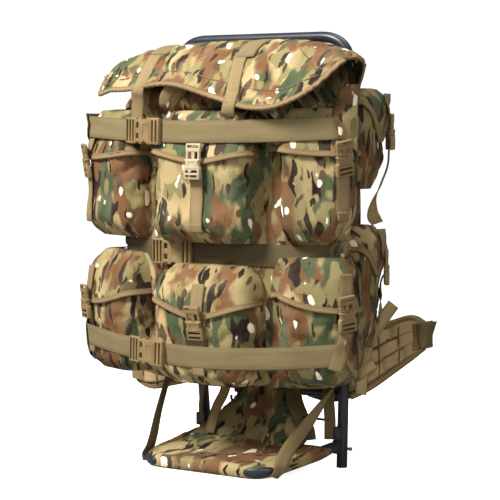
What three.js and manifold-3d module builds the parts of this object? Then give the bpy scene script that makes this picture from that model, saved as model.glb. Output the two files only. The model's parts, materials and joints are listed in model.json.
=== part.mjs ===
// A military rucksack on a tube frame, standing on the frame's legs and its fold-down shelf.
// Units are millimetres and +Z is up. The pockets face -Y and the wearer stands at +Y.
// While it is built, the origin is on the floor, midway between the two legs.
import * as THREE from "three";
import Module from "manifold-3d";

const wasm = await Module();
wasm.setup();
const { Manifold, Mesh: SolidMesh } = wasm;

// Driving dimensions
const GAP = 0.4; // clearance between neighbouring pieces
const CLOTH = 2; // wall of the bag, the pouches, the flaps and the lid
const WEB = 1.8; // thickness of the woven straps
const NARROW = 26; // width of a pocket strap
const WIDE = 38; // width of a compression strap
const SMOOTHING = 0.03; // how closely the solids keep to their worked-out surfaces
const TUBE = 9.5; // radius of the frame tube
const CROSS = 7; // radius of the cross tubes
const HEIGHT = 748; // height of the top tube's centre line
const FOOT = 147; // half the distance between the legs at the floor
const SHOULDER = 186; // half the distance between the uprights at full height
const LEAN = 34; // how far the top of the frame leans towards the pockets
const BEND = 62; // length of upright and top tube taken up by a top corner
const HANG = -8; // how far the bag hangs to the left of the frame's middle
const SHELF_SHIFT = -17; // how far the shelf's front sits to the left of the frame's middle
const SHELF_OUT = 186; // reach of the shelf's front tube from the legs
const SHELF_FRONT = 127; // half the width of the shelf at its front corners
const SHELF_HINGE = 38; // height of the shelf's hinge above the floor

// Colours
const looks = {
  camouflage: { color: 0x8a7a58, roughness: 0.9, metalness: 0 },
  webbing: { color: 0x8f7a55, roughness: 0.85, metalness: 0 },
  plastic: { color: 0x9a7d55, roughness: 0.5, metalness: 0 },
  tube: { color: 0x1c2024, roughness: 0.35, metalness: 0.3 },
};

const point = (x, y, z) => new THREE.Vector3(x, y, z);
const mix = THREE.MathUtils.lerp;
const radians = THREE.MathUtils.degToRad;

// A closed solid from corner points and triangles, turned to face outwards.
function solidOf(points, triangles) {
  const vertProperties = Float32Array.from(points.flatMap((p) => [p.x, p.y, p.z]));
  const triVerts = Uint32Array.from(triangles.flat());
  const solid = new Manifold(new SolidMesh({ numProp: 3, vertProperties, triVerts }));
  if (solid.volume() > 0) return solid;
  return solidOf(points, triangles.map(([a, b, c]) => [a, c, b]));
}

// Triangles of a band of quads between two rows of point numbers.
function quads(first, second) {
  return first.slice(1).flatMap((_, i) => [
    [first[i], first[i + 1], second[i + 1]],
    [first[i], second[i + 1], second[i]],
  ]);
}

// A solid skinned over rings of equal point count, with flat ends.
function loft(rings) {
  const count = rings[0].length;
  const row = (r) => Array.from({ length: count + 1 }, (_, i) => r * count + (i % count));
  const sides = rings.slice(1).flatMap((_, r) => quads(row(r), row(r + 1)));
  const last = (rings.length - 1) * count;
  const ends = Array.from({ length: count - 2 }, (_, i) => [
    [0, i + 2, i + 1],
    [last, last + i + 1, last + i + 2],
  ]).flat();
  return solidOf(rings.flat(), [...sides, ...ends]);
}

// A sheet on one side of a grid of points, of one thickness or one for each row.
function sheet(grid, thickness) {
  const rows = grid.length;
  const columns = grid[0].length;
  const within = (n, count) => THREE.MathUtils.clamp(n, 0, count - 1);
  const near = (i, j) => grid[within(i, rows)][within(j, columns)];
  const lifted = grid.map((line, i) =>
    line.map((p, j) => {
      const along = near(i + 1, j).clone().sub(near(i - 1, j));
      const across = near(i, j + 1).clone().sub(near(i, j - 1));
      const lift = Array.isArray(thickness) ? thickness[i] : thickness;
      return along.cross(across).normalize().multiplyScalar(lift).add(p);
    }),
  );
  const low = (i) => Array.from({ length: columns }, (_, j) => i * columns + j);
  const high = (i) => low(i).map((n) => n + rows * columns);
  const leftEdge = (lift) => Array.from({ length: rows }, (_, i) => i * columns + lift);
  const faces = [];
  for (let i = 0; i < rows - 1; i += 1) {
    faces.push(...quads(low(i), low(i + 1)), ...quads(high(i + 1), high(i)));
  }
  faces.push(...quads(high(0), low(0)), ...quads(low(rows - 1), high(rows - 1)));
  const over = rows * columns;
  faces.push(...quads(leftEdge(0), leftEdge(over)));
  faces.push(...quads(leftEdge(over + columns - 1), leftEdge(columns - 1)));
  return solidOf([...grid.flat(), ...lifted.flat()], faces);
}

// A round bar along a row of points, its rings kept from twisting.
function bar(path, radius, sides = 12) {
  const upright = path[1].clone().sub(path[0]).normalize();
  const start = Math.abs(upright.x) < 0.9 ? point(1, 0, 0) : point(0, 1, 0);
  let side = start.cross(upright).normalize();
  const rings = path.map((p, i) => {
    const before = path[Math.max(i - 1, 0)];
    const after = path[Math.min(i + 1, path.length - 1)];
    const ahead = after.clone().sub(before).normalize();
    side = side.clone().addScaledVector(ahead, -side.dot(ahead)).normalize();
    const other = ahead.clone().cross(side);
    return Array.from({ length: sides }, (_, k) => {
      const turn = (2 * Math.PI * k) / sides;
      return p.clone()
        .addScaledVector(side, radius * Math.cos(turn))
        .addScaledVector(other, radius * Math.sin(turn));
    });
  });
  return loft(rings);
}

// A path of straight runs whose inner corners are rounded off.
function roundedPath(corners, reach, steps = 6) {
  return corners.flatMap((corner, i) => {
    if (i === 0 || i === corners.length - 1) return [corner];
    const into = corners[i - 1].clone().sub(corner).setLength(reach).add(corner);
    const out = corners[i + 1].clone().sub(corner).setLength(reach).add(corner);
    return new THREE.QuadraticBezierCurve3(into, corner, out).getPoints(steps);
  });
}

// A box given by its two opposite corners.
function block(low, high) {
  const size = high.clone().sub(low);
  return Manifold.cube(size.toArray()).translate(low.toArray());
}

// A value read from a table at a given place, straight between its rows.
function fromTable(rows, key, at, column) {
  const next = rows.findIndex((row) => row[key] >= at);
  if (next === 0) return rows[0][column];
  if (next < 0) return rows[rows.length - 1][column];
  const [a, b] = [rows[next - 1], rows[next]];
  return mix(a[column], b[column], (at - a[key]) / (b[key] - a[key]));
}

// A squared oval of points, rounder in front than behind.
function oval(half, front, back, count, frontPower, backPower) {
  const middle = (front + back) / 2;
  const deep = (back - front) / 2;
  return Array.from({ length: count }, (_, i) => {
    const turn = (2 * Math.PI * (i + 0.5)) / count;
    const power = Math.sin(turn) < 0 ? frontPower : backPower;
    const bulge = (v) => Math.sign(v) * Math.abs(v) ** (2 / power);
    return new THREE.Vector2(half * bulge(Math.cos(turn)), middle + deep * bulge(Math.sin(turn)));
  });
}

const nodes = new THREE.Group();

// Adds one named piece to the rucksack.
function add(name, solid, look) {
  const bodies = solid.simplify(SMOOTHING).decompose();
  const [body] = bodies.sort((a, b) => b.volume() - a.volume());
  const { vertProperties, triVerts } = body.getMesh();
  const geometry = new THREE.BufferGeometry();
  geometry.setAttribute("position", new THREE.BufferAttribute(new Float32Array(vertProperties), 3));
  geometry.setIndex(new THREE.BufferAttribute(new Uint32Array(triVerts), 1));
  geometry.computeVertexNormals();
  const mesh = new THREE.Mesh(geometry, new THREE.MeshStandardMaterial(looks[look]));
  mesh.name = name;
  nodes.add(mesh);
  return solid;
}

// The frame: a leaning hoop with two cross tubes and two shelf lugs
const onFrame = (side, z) =>
  point(side * mix(FOOT, SHOULDER, z / HEIGHT), (-LEAN * z) / HEIGHT, z);
const frameY = (z) => onFrame(1, z).y;
const LOWER_CROSS = 128; // height of the lower cross tube
const UPPER_CROSS = 588; // height of the upper cross tube
const LUG = { wide: 11, out: 22, low: 26, high: 50 };

const hoop = bar(
  roundedPath([onFrame(-1, -20), onFrame(-1, HEIGHT), onFrame(1, HEIGHT), onFrame(1, -20)], BEND),
  TUBE,
);
const crossTubes = [LOWER_CROSS, UPPER_CROSS].map((z) => bar([onFrame(-1, z), onFrame(1, z)], CROSS, 10));
const lugs = [-1, 1].map((side) => {
  const centre = onFrame(side, SHELF_HINGE).x - side * 3;
  return block(point(centre - LUG.wide / 2, -LUG.out, LUG.low), point(centre + LUG.wide / 2, 0, LUG.high));
});
const floorCut = block(point(-400, -200, -60), point(400, 200, 0));
const frame = Manifold.union([hoop, ...crossTubes, ...lugs]).subtract(floorCut);
add("frame", frame, "tube");

// The shelf: a bent tube in a cloth sleeve, with a cloth panel across it
const SHELF_BEND = 40; // length of tube taken up by a front corner
const SLEEVE = TUBE + GAP + CLOTH; // outer radius of the cloth sleeve
const hingeX = onFrame(1, SHELF_HINGE).x - 3;
const shelfEnd = (side) => point(side * hingeX, -LUG.out - GAP, SHELF_HINGE);
const shelfCorner = (side) => point(SHELF_SHIFT + side * SHELF_FRONT, -SHELF_OUT, SLEEVE);
const stub = (side) => shelfEnd(side).add(point(0, -10, 0));
const shelfRuns = roundedPath([stub(-1), shelfCorner(-1), shelfCorner(1), stub(1)], SHELF_BEND, 4);
const shelfPath = [shelfEnd(-1), ...shelfRuns, shelfEnd(1)];
add("shelf_tube", bar(shelfPath, TUBE, 10), "tube");

const SLEEVE_BACK = 30; // bare tube left behind the sleeve, towards the hinge
const onShelf = (across, share, lift) => {
  const [left, right] = [-1, 1].map((side) => shelfEnd(side).lerp(shelfCorner(side), share));
  return left.lerp(right, (across + 1) / 2).add(point(0, 0, lift));
};
const panelGrid = [0.2, 0.6, 1].map((share) =>
  [-1, -0.5, 0, 0.5, 1].map((across) => {
    const sag = 5 * (1 - across * across) * (1.2 - share);
    return onShelf(across, share, TUBE + GAP - sag);
  }),
);
const panel = sheet(panelGrid, -CLOTH);
const sleeveEnds = block(point(-400, -LUG.out - SLEEVE_BACK, -50), point(400, 50, 100));
const CORNER_WINDOW = { x: 89, wide: 34, y: -212, deep: 30 };
const cornerWindows = [-1, 1].map((side) => {
  const near = SHELF_SHIFT + side * CORNER_WINDOW.x;
  const far = near + side * CORNER_WINDOW.wide;
  return block(
    point(Math.min(near, far), CORNER_WINDOW.y, 4),
    point(Math.max(near, far), CORNER_WINDOW.y + CORNER_WINDOW.deep, 18),
  );
});
const shelfCover = bar(shelfPath, SLEEVE, 10)
  .add(panel)
  .subtract(bar(shelfPath, TUBE + GAP, 10))
  .subtract(sleeveEnds)
  .subtract(Manifold.union(cornerWindows));
add("shelf_cover", shelfCover, "camouflage");

const APRON_ROWS = [
  { z: 44, y: -52, half: 112 },
  { z: 58, y: -38, half: 106 },
  { z: 84, y: -26, half: 86 },
  { z: 110, y: -17, half: 62 },
  { z: LOWER_CROSS + 5, y: frameY(LOWER_CROSS) - CROSS + GAP, half: 50 },
];
const apronGrid = APRON_ROWS.map((row) =>
  [-1, -0.5, 0, 0.5, 1].map((across) => point(HANG + across * row.half, row.y, row.z)),
);
add("shelf_apron", sheet(apronGrid, -CLOTH), "camouflage");

// The main bag: a hollow squared oval, open at the gathered collar
const BAG_ROWS = [
  { z: 152, half: 188, front: -140 },
  { z: 170, half: 210, front: -157 },
  { z: 260, half: 220, front: -164 },
  { z: 400, half: 224, front: -168 },
  { z: 540, half: 221, front: -166 },
  { z: 606, half: 210, front: -160 },
  { z: 645, half: 190, front: -151 },
  { z: 668, half: 178, front: -143 },
];
const BAG_POINTS = 24;
const BAG_PRESS = 0.3; // how far the back bulges in between the uprights
const RIM = BAG_ROWS[BAG_ROWS.length - 1].z;
function bagRing(z, grow) {
  const half = fromTable(BAG_ROWS, "z", z, "half") + grow;
  const front = fromTable(BAG_ROWS, "z", z, "front") - grow;
  const back = frameY(z) - TUBE - GAP + BAG_PRESS + grow;
  return oval(half, front, back, BAG_POINTS, 3.2, 8).map((p) => p.setX(p.x + HANG));
}
function bagSolid(grow, topExtra) {
  const levels = BAG_ROWS.map((row) => row.z);
  const rings = levels.map((z, i) => {
    const end = i === 0 ? -grow : 0;
    return bagRing(z, grow).map((p) => point(p.x, p.y, z + end));
  });
  const top = rings[rings.length - 1].map((p) => p.clone().setZ(RIM + topExtra));
  return loft(topExtra ? [...rings, top] : rings);
}
add("main_bag", bagSolid(0, 0).subtract(bagSolid(-CLOTH, 5)), "camouflage");

// The middle compression strap lies on the bag, behind both rows of pockets
const MIDDLE = { z: 378, buckle: -92 };
const SIDE_PANEL = 216; // half the distance between the panels that the side pouches are sewn to
const SEAM = -100; // where the outer pockets are sewn to the bag's sides
const SIDE_ANCHOR = -92; // where the compression straps are sewn to the bag's sides
// The points of a ring that lie in front of the side anchors, from left to right.
const alongFront = (ring) => {
  const bearing = (p) => Math.atan2(p.y - SIDE_ANCHOR - 1, p.x);
  return ring.filter((p) => p.y < SIDE_ANCHOR).sort((p, q) => bearing(p) - bearing(q));
};
const middleBand = (grow, high, thickness) => {
  const levels = [MIDDLE.z - high / 2, MIDDLE.z + high / 2];
  const rows = levels.map((z) => alongFront(bagRing(z, grow)).map((p) => point(p.x, p.y, z)));
  const grid = rows[0].map((_, i) => rows.map((row) => row[i]));
  return sheet(grid, thickness);
};
add("middle_strap", middleBand(GAP, WIDE, WEB), "webbing");

// A buckle lying flat at the origin: strap runs along Y, the face looks to +Z
function buckleSolid(wide, long, deep) {
  const OUTLINE = [
    { x: 0.42, y: -0.5 },
    { x: 0.5, y: -0.42 },
    { x: 0.5, y: 0.06 },
    { x: 0.4, y: 0.14 },
    { x: 0.46, y: 0.24 },
    { x: 0.46, y: 0.44 },
    { x: 0.4, y: 0.5 },
  ];
  const right = OUTLINE.map((p) => [p.x * wide, p.y * long]);
  const left = right.map(([x, y]) => [-x, y]).reverse();
  const body = Manifold.extrude([[...right, ...left]], deep);
  const slot = (y) => Manifold.cube([wide * 0.76, long * 0.07, deep * 3], true).translate([0, y * long, 0]);
  return body.subtract(slot(-0.38)).subtract(slot(0.38));
}

// Stands a flat solid up at a place, its face along the normal and its length along a direction.
function stand(solid, place, normal, along) {
  const z = normal.clone().normalize();
  const y = along.clone().addScaledVector(z, -along.dot(z)).normalize();
  const x = y.clone().cross(z);
  const turn = new THREE.Matrix4().makeBasis(x, y, z).setPosition(place);
  return solid.transform(turn.elements);
}

const WIDE_BUCKLE = { wide: 46, long: 88, deep: 10 };
const NARROW_BUCKLE = { wide: 34, long: 62, deep: 9 };

// Place, normal and direction on a path of plan points at a given x, all at one height.
function onPath(path, x, z) {
  const i = path.findIndex((p, k) => k > 0 && (p.x - x) * (path[k - 1].x - x) <= 0);
  const [a, b] = [path[i - 1], path[i]];
  const share = (x - a.x) / (b.x - a.x);
  const along = point(b.x - a.x, b.y - a.y, 0).normalize();
  const out = point(-along.y, along.x, 0);
  if (out.y > 0) out.negate();
  return { place: point(x, mix(a.y, b.y, share), z), out, along };
}

const middlePath = alongFront(bagRing(MIDDLE.z, GAP + WEB));
const middleSpot = onPath(middlePath, MIDDLE.buckle, MIDDLE.z);
middleSpot.place.addScaledVector(middleSpot.out, 1.2);
const middleBuckle = stand(
  buckleSolid(WIDE_BUCKLE.wide, WIDE_BUCKLE.long, WIDE_BUCKLE.deep),
  middleSpot.place,
  middleSpot.out,
  middleSpot.along,
);
add("middle_buckle", middleBuckle, "plastic");

// What the pockets must clear: the bag, its middle strap and the buckle on it
const buckleRoom = stand(
  Manifold.cube([WIDE_BUCKLE.wide + 2, WIDE_BUCKLE.long + 2, 40], true),
  middleSpot.place.clone().addScaledVector(middleSpot.out, WIDE_BUCKLE.deep - 20 + GAP),
  middleSpot.out,
  middleSpot.along,
);
const strapRoom = block(
  point(-400, -400, MIDDLE.z - WIDE / 2 - GAP),
  point(400, 0, MIDDLE.z + WIDE / 2 + GAP),
);
const core = bagSolid(GAP, 0)
  .add(bagSolid(2 * GAP + WEB + 1, 0).intersect(strapRoom))
  .add(buckleRoom);
const behindSeam = (room) =>
  Manifold.union(
    [-1, 1].map((side) =>
      block(
        point(side < 0 ? -400 : 190, SEAM - room, 0),
        point(side < 0 ? -190 : 400, 200, 900),
      ),
    ),
  );

// Pockets: pouch, flap, strap and buckle, from one table
// x and y place the middle of the back, x from the bag's own middle. turn is about Z, and depth
// reaches out from there.
// strap is the strap's distance from the middle, edge the height of the flap's lowest edge.
const POCKETS = [
  { name: "upper_left", x: -210, y: -124, turn: -21, width: 162, depth: 64, low: 402, high: 620,
    strap: -36, edge: 536, rise: 10, buckle: 532, tail: 422, top: "square" },
  { name: "upper_centre", x: 2, y: -150, turn: 0, width: 204, depth: 76, low: 398, high: 618,
    strap: 8, edge: 530, rise: 20, buckle: 534, tail: 414, top: "square" },
  { name: "upper_right", x: 190, y: -120, turn: 27, width: 148, depth: 64, low: 404, high: 622,
    strap: 42, edge: 546, rise: 8, buckle: 541, tail: 436, top: "square" },
  { name: "lower_left", x: -210, y: -124, turn: -21, width: 170, depth: 66, low: 163, high: 372,
    strap: -36, edge: 280, rise: 22, buckle: 281, tail: 190, top: "dome" },
  { name: "lower_centre", x: 8, y: -150, turn: 0, width: 210, depth: 78, low: 156, high: 356,
    strap: 8, edge: 268, rise: 30, buckle: 264, tail: 172, top: "dome" },
  { name: "lower_right", x: 192, y: -120, turn: 27, width: 150, depth: 66, low: 168, high: 374,
    strap: 42, edge: 294, rise: 20, buckle: 287, tail: 196, top: "dome" },
];
const SIDE_POUCHES = [
  { name: "upper_side", low: 478, high: 654, depth: 40, edge: 576, rise: 18, buckle: 588, tail: 500 },
  { name: "lower_side", low: 226, high: 424, depth: 32, edge: 352, rise: 14, buckle: 362, tail: 260 },
].flatMap((row) =>
  [-1, 1].map((side) => ({
    ...row, name: `${row.name}_${side < 0 ? "left" : "right"}`, x: side * 220, y: -52, turn: side * 90,
    width: 66, strap: 0, top: "slab", tuck: 10, points: 14, side: true,
  })),
);

const PROFILES = {
  square: [
    { t: 0, width: 0.88, depth: 0.66 },
    { t: 0.07, width: 0.97, depth: 0.88 },
    { t: 0.35, width: 1, depth: 1 },
    { t: 0.75, width: 0.98, depth: 0.96 },
    { t: 0.94, width: 0.95, depth: 0.82 },
    { t: 1, width: 0.9, depth: 0.66 },
  ],
  slab: [
    { t: 0, width: 0.86, depth: 0.56 },
    { t: 0.12, width: 0.95, depth: 0.7 },
    { t: 0.55, width: 1, depth: 0.94 },
    { t: 0.85, width: 1, depth: 1 },
    { t: 1, width: 0.94, depth: 0.8 },
  ],
  dome: [
    { t: 0, width: 0.86, depth: 0.68 },
    { t: 0.08, width: 0.97, depth: 0.9 },
    { t: 0.4, width: 1, depth: 1 },
    { t: 0.7, width: 0.97, depth: 0.94 },
    { t: 0.9, width: 0.86, depth: 0.76 },
    { t: 1, width: 0.68, depth: 0.54 },
  ],
};
const TUCK = 56; // how far a pocket's plain block reaches into the bag before it is cut away
const POCKET_POINTS = 16;

const placeOf = (pocket) =>
  new THREE.Matrix4().makeRotationZ(radians(pocket.turn)).setPosition(HANG + pocket.x, pocket.y, 0);
const heightAt = (pocket, t) => mix(pocket.low, pocket.high, t);

function pocketRing(pocket, t, grow) {
  const profile = PROFILES[pocket.top];
  const half = (pocket.width / 2) * fromTable(profile, "t", t, "width") + grow;
  const reach = pocket.depth * fromTable(profile, "t", t, "depth") + grow;
  return oval(half, -reach, pocket.tuck ?? TUCK, pocket.points ?? POCKET_POINTS, 4, 8);
}
function pocketSolid(pocket, grow, mouth) {
  const profile = PROFILES[pocket.top];
  const matrix = placeOf(pocket);
  const rings = profile.map(({ t }) => {
    const end = t === 0 ? -grow : t === 1 ? mouth : 0;
    const z = heightAt(pocket, t) + end;
    return pocketRing(pocket, t, grow).map((p) => point(p.x, p.y, z).applyMatrix4(matrix));
  });
  return loft(rings);
}

// The point on a pocket's grown front at a given distance from its middle.
function onPocket(pocket, x, z, grow) {
  const t = (z - pocket.low) / (pocket.high - pocket.low);
  const ring = pocketRing(pocket, THREE.MathUtils.clamp(t, 0, 1), grow).filter((p) => p.y < 0);
  ring.sort((a, b) => a.x - b.x);
  const next = Math.max(1, ring.findIndex((p) => p.x >= x));
  const [a, b] = [ring[next - 1], ring[next]];
  return point(x, mix(a.y, b.y, (x - a.x) / (b.x - a.x)), z);
}

// Everything above a flap's curved lower edge.
function aboveEdge(pocket) {
  const half = pocket.width / 2;
  const reach = half + 24;
  const bottom = [-1, -0.7, -0.35, 0, 0.35, 0.7, 1].map((across) => {
    const x = across * reach;
    return { x, z: pocket.edge + pocket.rise * (x / half) ** 2 };
  });
  const outline = [...bottom, { x: reach, z: pocket.high + 40 }, { x: -reach, z: pocket.high + 40 }];
  const matrix = placeOf(pocket);
  return loft([80, -160].map((y) => outline.map((p) => point(p.x, y, p.z).applyMatrix4(matrix))));
}

const STRAP_LIFT = 2 * GAP + CLOTH; // from a flat pouch to the underside of its strap
const BULGE = 1.4; // the most that a curved pouch lifts its strap further
const pocketBounds = core.add(behindSeam(0));
const pocketLining = bagSolid(GAP + CLOTH, 0).add(behindSeam(CLOTH));
const pouchBounds = core.add(block(point(HANG - SIDE_PANEL, -300, 0), point(HANG + SIDE_PANEL, 300, 900)));
const pouchLining = bagSolid(GAP + CLOTH, 0);

// A piece lowered, in small steps, to the least lift that clears what lies under it.
function seated(make, under) {
  const STEP = 0.1;
  const lifts = Array.from({ length: 90 }, (_, i) => i * STEP);
  const clear = lifts.find((lift) => make(lift).intersect(under).volume() <= 0);
  return make(clear + 3 * STEP);
}

function strapOn(pocket, lift) {
  const high = pocket.high - 14;
  const low = pocket.tail;
  const matrix = placeOf(pocket);
  const stops = PROFILES[pocket.top].map(({ t }) => heightAt(pocket, t));
  const levels = [high, ...stops.filter((z) => z < high - 4 && z > low + 4).reverse(), low];
  const grid = levels.map((z) =>
    [-0.5, -0.25, 0, 0.25, 0.5].map((across) =>
      onPocket(pocket, pocket.strap + across * NARROW, z, STRAP_LIFT - GAP + lift).applyMatrix4(matrix),
    ),
  );
  return sheet(grid, WEB);
}

function buckleOn(pocket, seat) {
  const matrix = placeOf(pocket);
  const at = (dx, dz) =>
    onPocket(pocket, pocket.strap + dx, pocket.buckle + dz, STRAP_LIFT).applyMatrix4(matrix);
  const half = NARROW_BUCKLE.long / 2;
  const along = at(0, half).sub(at(0, -half));
  const across = at(NARROW / 2, 0).sub(at(-NARROW / 2, 0));
  const out = across.clone().cross(along).normalize();
  const centre = at(0, half).add(at(0, -half)).multiplyScalar(0.5);
  const bulge = Math.max(0, at(0, 0).sub(centre).dot(out));
  const place = centre.addScaledVector(out, bulge + seat);
  return stand(buckleSolid(NARROW_BUCKLE.wide, NARROW_BUCKLE.long, NARROW_BUCKLE.deep), place, out, along);
}

for (const pocket of [...POCKETS, ...SIDE_POUCHES]) {
  const kind = pocket.side ? "pouch" : "pocket";
  const outside = pocket.side ? pouchBounds : pocketBounds;
  const hollow = pocketSolid(pocket, -CLOTH, 4).subtract(pocket.side ? pouchLining : pocketLining);
  const pouch = pocketSolid(pocket, 0, 0).subtract(outside).subtract(hollow);
  const flap = pocketSolid(pocket, GAP + CLOTH, GAP + CLOTH)
    .subtract(pocketSolid(pocket, GAP, GAP))
    .subtract(outside)
    .intersect(aboveEdge(pocket));
  const strap = seated((lift) => strapOn(pocket, lift), flap.add(pouch));
  add(`${pocket.name}_${kind}`, pouch, "camouflage");
  add(`${pocket.name}_flap`, flap, "camouflage");
  if (pocket.side) {
    add(`${pocket.name}_fastener`, strap.add(buckleOn(pocket, WEB / 2)), "webbing");
  } else {
    add(`${pocket.name}_strap`, strap, "webbing");
    add(`${pocket.name}_buckle`, seated((lift) => buckleOn(pocket, lift), strap), "plastic");
  }
}

// The upper and lower compression straps are pulled tight round their row of pockets
const OVER_STRAPS = STRAP_LIFT + BULGE + WEB + GAP; // from a pouch to the strap across it
const COMPRESSION = [
  { name: "upper", z: 586, sag: 8, buckle: -116 },
  { name: "lower", z: 206, sag: 16, buckle: -106 },
];

// The corners of the tightest loop round a set of plan points, anticlockwise.
function tightLoop(points) {
  const sorted = [...points].sort((p, q) => p.x - q.x || p.y - q.y);
  const turn = (a, b, c) => (b.x - a.x) * (c.y - a.y) - (b.y - a.y) * (c.x - a.x);
  const half = (list) =>
    list.reduce((kept, p) => {
      while (kept.length > 1 && turn(kept[kept.length - 2], kept[kept.length - 1], p) <= 0) kept.pop();
      return [...kept, p];
    }, []);
  return [...half(sorted).slice(0, -1), ...half(sorted.reverse()).slice(0, -1)];
}

// The part of a closed ring of plan points that lies ahead of a line across the pack.
function aheadOf(line, ring) {
  return ring.flatMap((p, i) => {
    const q = ring[(i + 1) % ring.length];
    const crosses = (p.y - line) * (q.y - line) < 0;
    const crossing = p.clone().lerp(q, (line - p.y) / (q.y - p.y));
    return [...(p.y < line ? [p] : []), ...(crosses ? [crossing] : [])];
  });
}

function compressionPath(row, grow) {
  const reach = WIDE / 2 + row.sag;
  const plan = POCKETS.filter((pocket) => pocket.name.startsWith(row.name)).flatMap((pocket) => {
    const matrix = placeOf(pocket);
    return [-reach, 0, reach].flatMap((dz) => {
      const t = (row.z + dz - pocket.low) / (pocket.high - pocket.low);
      const ring = pocketRing(pocket, THREE.MathUtils.clamp(t, 0, 1), grow);
      return aheadOf(SEAM + grow, ring.map((p) => point(p.x, p.y, 0).applyMatrix4(matrix)));
    });
  });
  const widest = Math.max(...[-reach, reach].map((dz) => fromTable(BAG_ROWS, "z", row.z + dz, "half")));
  const anchors = [-1, 1].map((side) => point(HANG + side * (widest + 2 * GAP), SIDE_ANCHOR, 0));
  const loop = alongFront(tightLoop(plan));
  return [anchors[0], ...loop, anchors[1]];
}

const paths = {};
for (const row of COMPRESSION) {
  const path = compressionPath(row, OVER_STRAPS);
  const sagAt = (x) => row.z + row.sag * Math.min(1, Math.abs(x) / 270) ** 2;
  const grid = path.map((p) => [-0.5, 0.5].map((across) => point(p.x, p.y, sagAt(p.x) + across * WIDE)));
  add(`${row.name}_strap`, sheet(grid, WEB), "webbing");
  const outer = onPath(path, row.buckle, sagAt(row.buckle));
  const place = outer.place.addScaledVector(outer.out, WEB + GAP + 0.3);
  const buckle = buckleSolid(WIDE_BUCKLE.wide, WIDE_BUCKLE.long, WIDE_BUCKLE.deep);
  add(`${row.name}_buckle`, stand(buckle, place, outer.out, outer.along), "plastic");
  paths[row.name] = path;
}

// The lid: an arched cloth with a rounded lobe at each end, seated on the back of the rim
const LID_ROWS = [
  { x: -268, frontY: -160, frontZ: 660, crownY: -130, crownZ: 684,
    backY: -100, backZ: 676, hemY: -95, hemZ: 670 },
  { x: -246, frontY: -186, frontZ: 650, crownY: -131, crownZ: 704,
    backY: -76, backZ: 697, hemY: -68, hemZ: 684 },
  { x: -205, frontY: -204, frontZ: 655, crownY: -131, crownZ: 717,
    backY: -60, backZ: 710, hemY: -52, hemZ: 692 },
  { x: -160, frontY: -216, frontZ: 655, crownY: -131, crownZ: 725,
    backY: -52, backZ: 718, hemY: -41, hemZ: RIM + GAP },
  { x: -60, frontY: -228, frontZ: 657, crownY: -128, crownZ: 732,
    backY: -50, backZ: 726, hemY: -41, hemZ: RIM + GAP },
  { x: 40, frontY: -230, frontZ: 641, crownY: -130, crownZ: 733,
    backY: -50, backZ: 727, hemY: -41, hemZ: RIM + GAP },
  { x: 115, frontY: -231, frontZ: 623, crownY: -133, crownZ: 731,
    backY: -50, backZ: 725, hemY: -41, hemZ: RIM + GAP },
  { x: 160, frontY: -228, frontZ: 625, crownY: -136, crownZ: 726,
    backY: -51, backZ: 720, hemY: -41, hemZ: RIM + GAP },
  { x: 200, frontY: -218, frontZ: 640, crownY: -142, crownZ: 720,
    backY: -57, backZ: 712, hemY: -52, hemZ: 690 },
  { x: 236, frontY: -206, frontZ: 662, crownY: -148, crownZ: 714,
    backY: -74, backZ: 702, hemY: -66, hemZ: 674 },
  { x: 258, frontY: -188, frontZ: 678, crownY: -150, crownZ: 704,
    backY: -96, backZ: 694, hemY: -88, hemZ: 670 },
];
const LID_STEPS = 8;
function lidCurve(x) {
  const read = (column) => fromTable(LID_ROWS, "x", x, column);
  const stops = ["front", "crown", "back", "hem"].map((stop) => point(x, read(`${stop}Y`), read(`${stop}Z`)));
  return new THREE.CatmullRomCurve3(stops);
}
const lidGrid = LID_ROWS.map((row) => lidCurve(row.x).getPoints(LID_STEPS));
add("lid", sheet(lidGrid, CLOTH), "camouflage");

const LID_STRAPS = [
  { name: "left", x: -120 },
  { name: "right", x: 66 },
];
const LID_STRAP_END = 572; // lower ends, behind the upper compression strap
function aboveLid(x, share, lift) {
  const at = (dx, dv) => lidCurve(x + dx).getPoint(THREE.MathUtils.clamp(share + dv, 0, 1));
  const normal = at(10, 0).sub(at(-10, 0)).cross(at(0, 0.03).sub(at(0, -0.03))).normalize();
  return at(0, 0).addScaledVector(normal, lift);
}
for (const row of LID_STRAPS) {
  const columns = [-0.5, 0, 0.5].map((across) => {
    const x = row.x + across * NARROW;
    const lying = [3, 2, 1, 0].map((step) => aboveLid(x, step / LID_STEPS, CLOTH + 3 * GAP));
    const edge = lying[3];
    const behind = onPath(paths.upper, x, 0).place.y + WEB + GAP;
    const hanging = [edge.z - 26, 606, LID_STRAP_END].map((z) => point(x, behind, z));
    return [...lying, ...hanging];
  });
  const grid = columns[0].map((_, i) => columns.map((column) => column[i]));
  add(`lid_strap_${row.name}`, sheet(grid, WEB), "webbing");
}

// Straps from the shelf's front corners, up to the bag on the left and to the upright on the right
const SHELF_STRAPS = [
  { name: "left", foot: point(-141, -163, 29.2), knee: point(-142, -142, 92), end: point(-143, -122, 151.4) },
  { name: "right", foot: point(112, -163, 28.9), knee: point(130, -92, 88), end: point(150, -18.6, 150) },
];
for (const row of SHELF_STRAPS) {
  const grid = [row.foot, row.knee, row.end].map((p) =>
    [-0.5, 0.5].map((across) => p.clone().add(point(across * NARROW, 0, 0))),
  );
  add(`shelf_strap_${row.name}`, sheet(grid, -WEB), "webbing");
}

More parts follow.
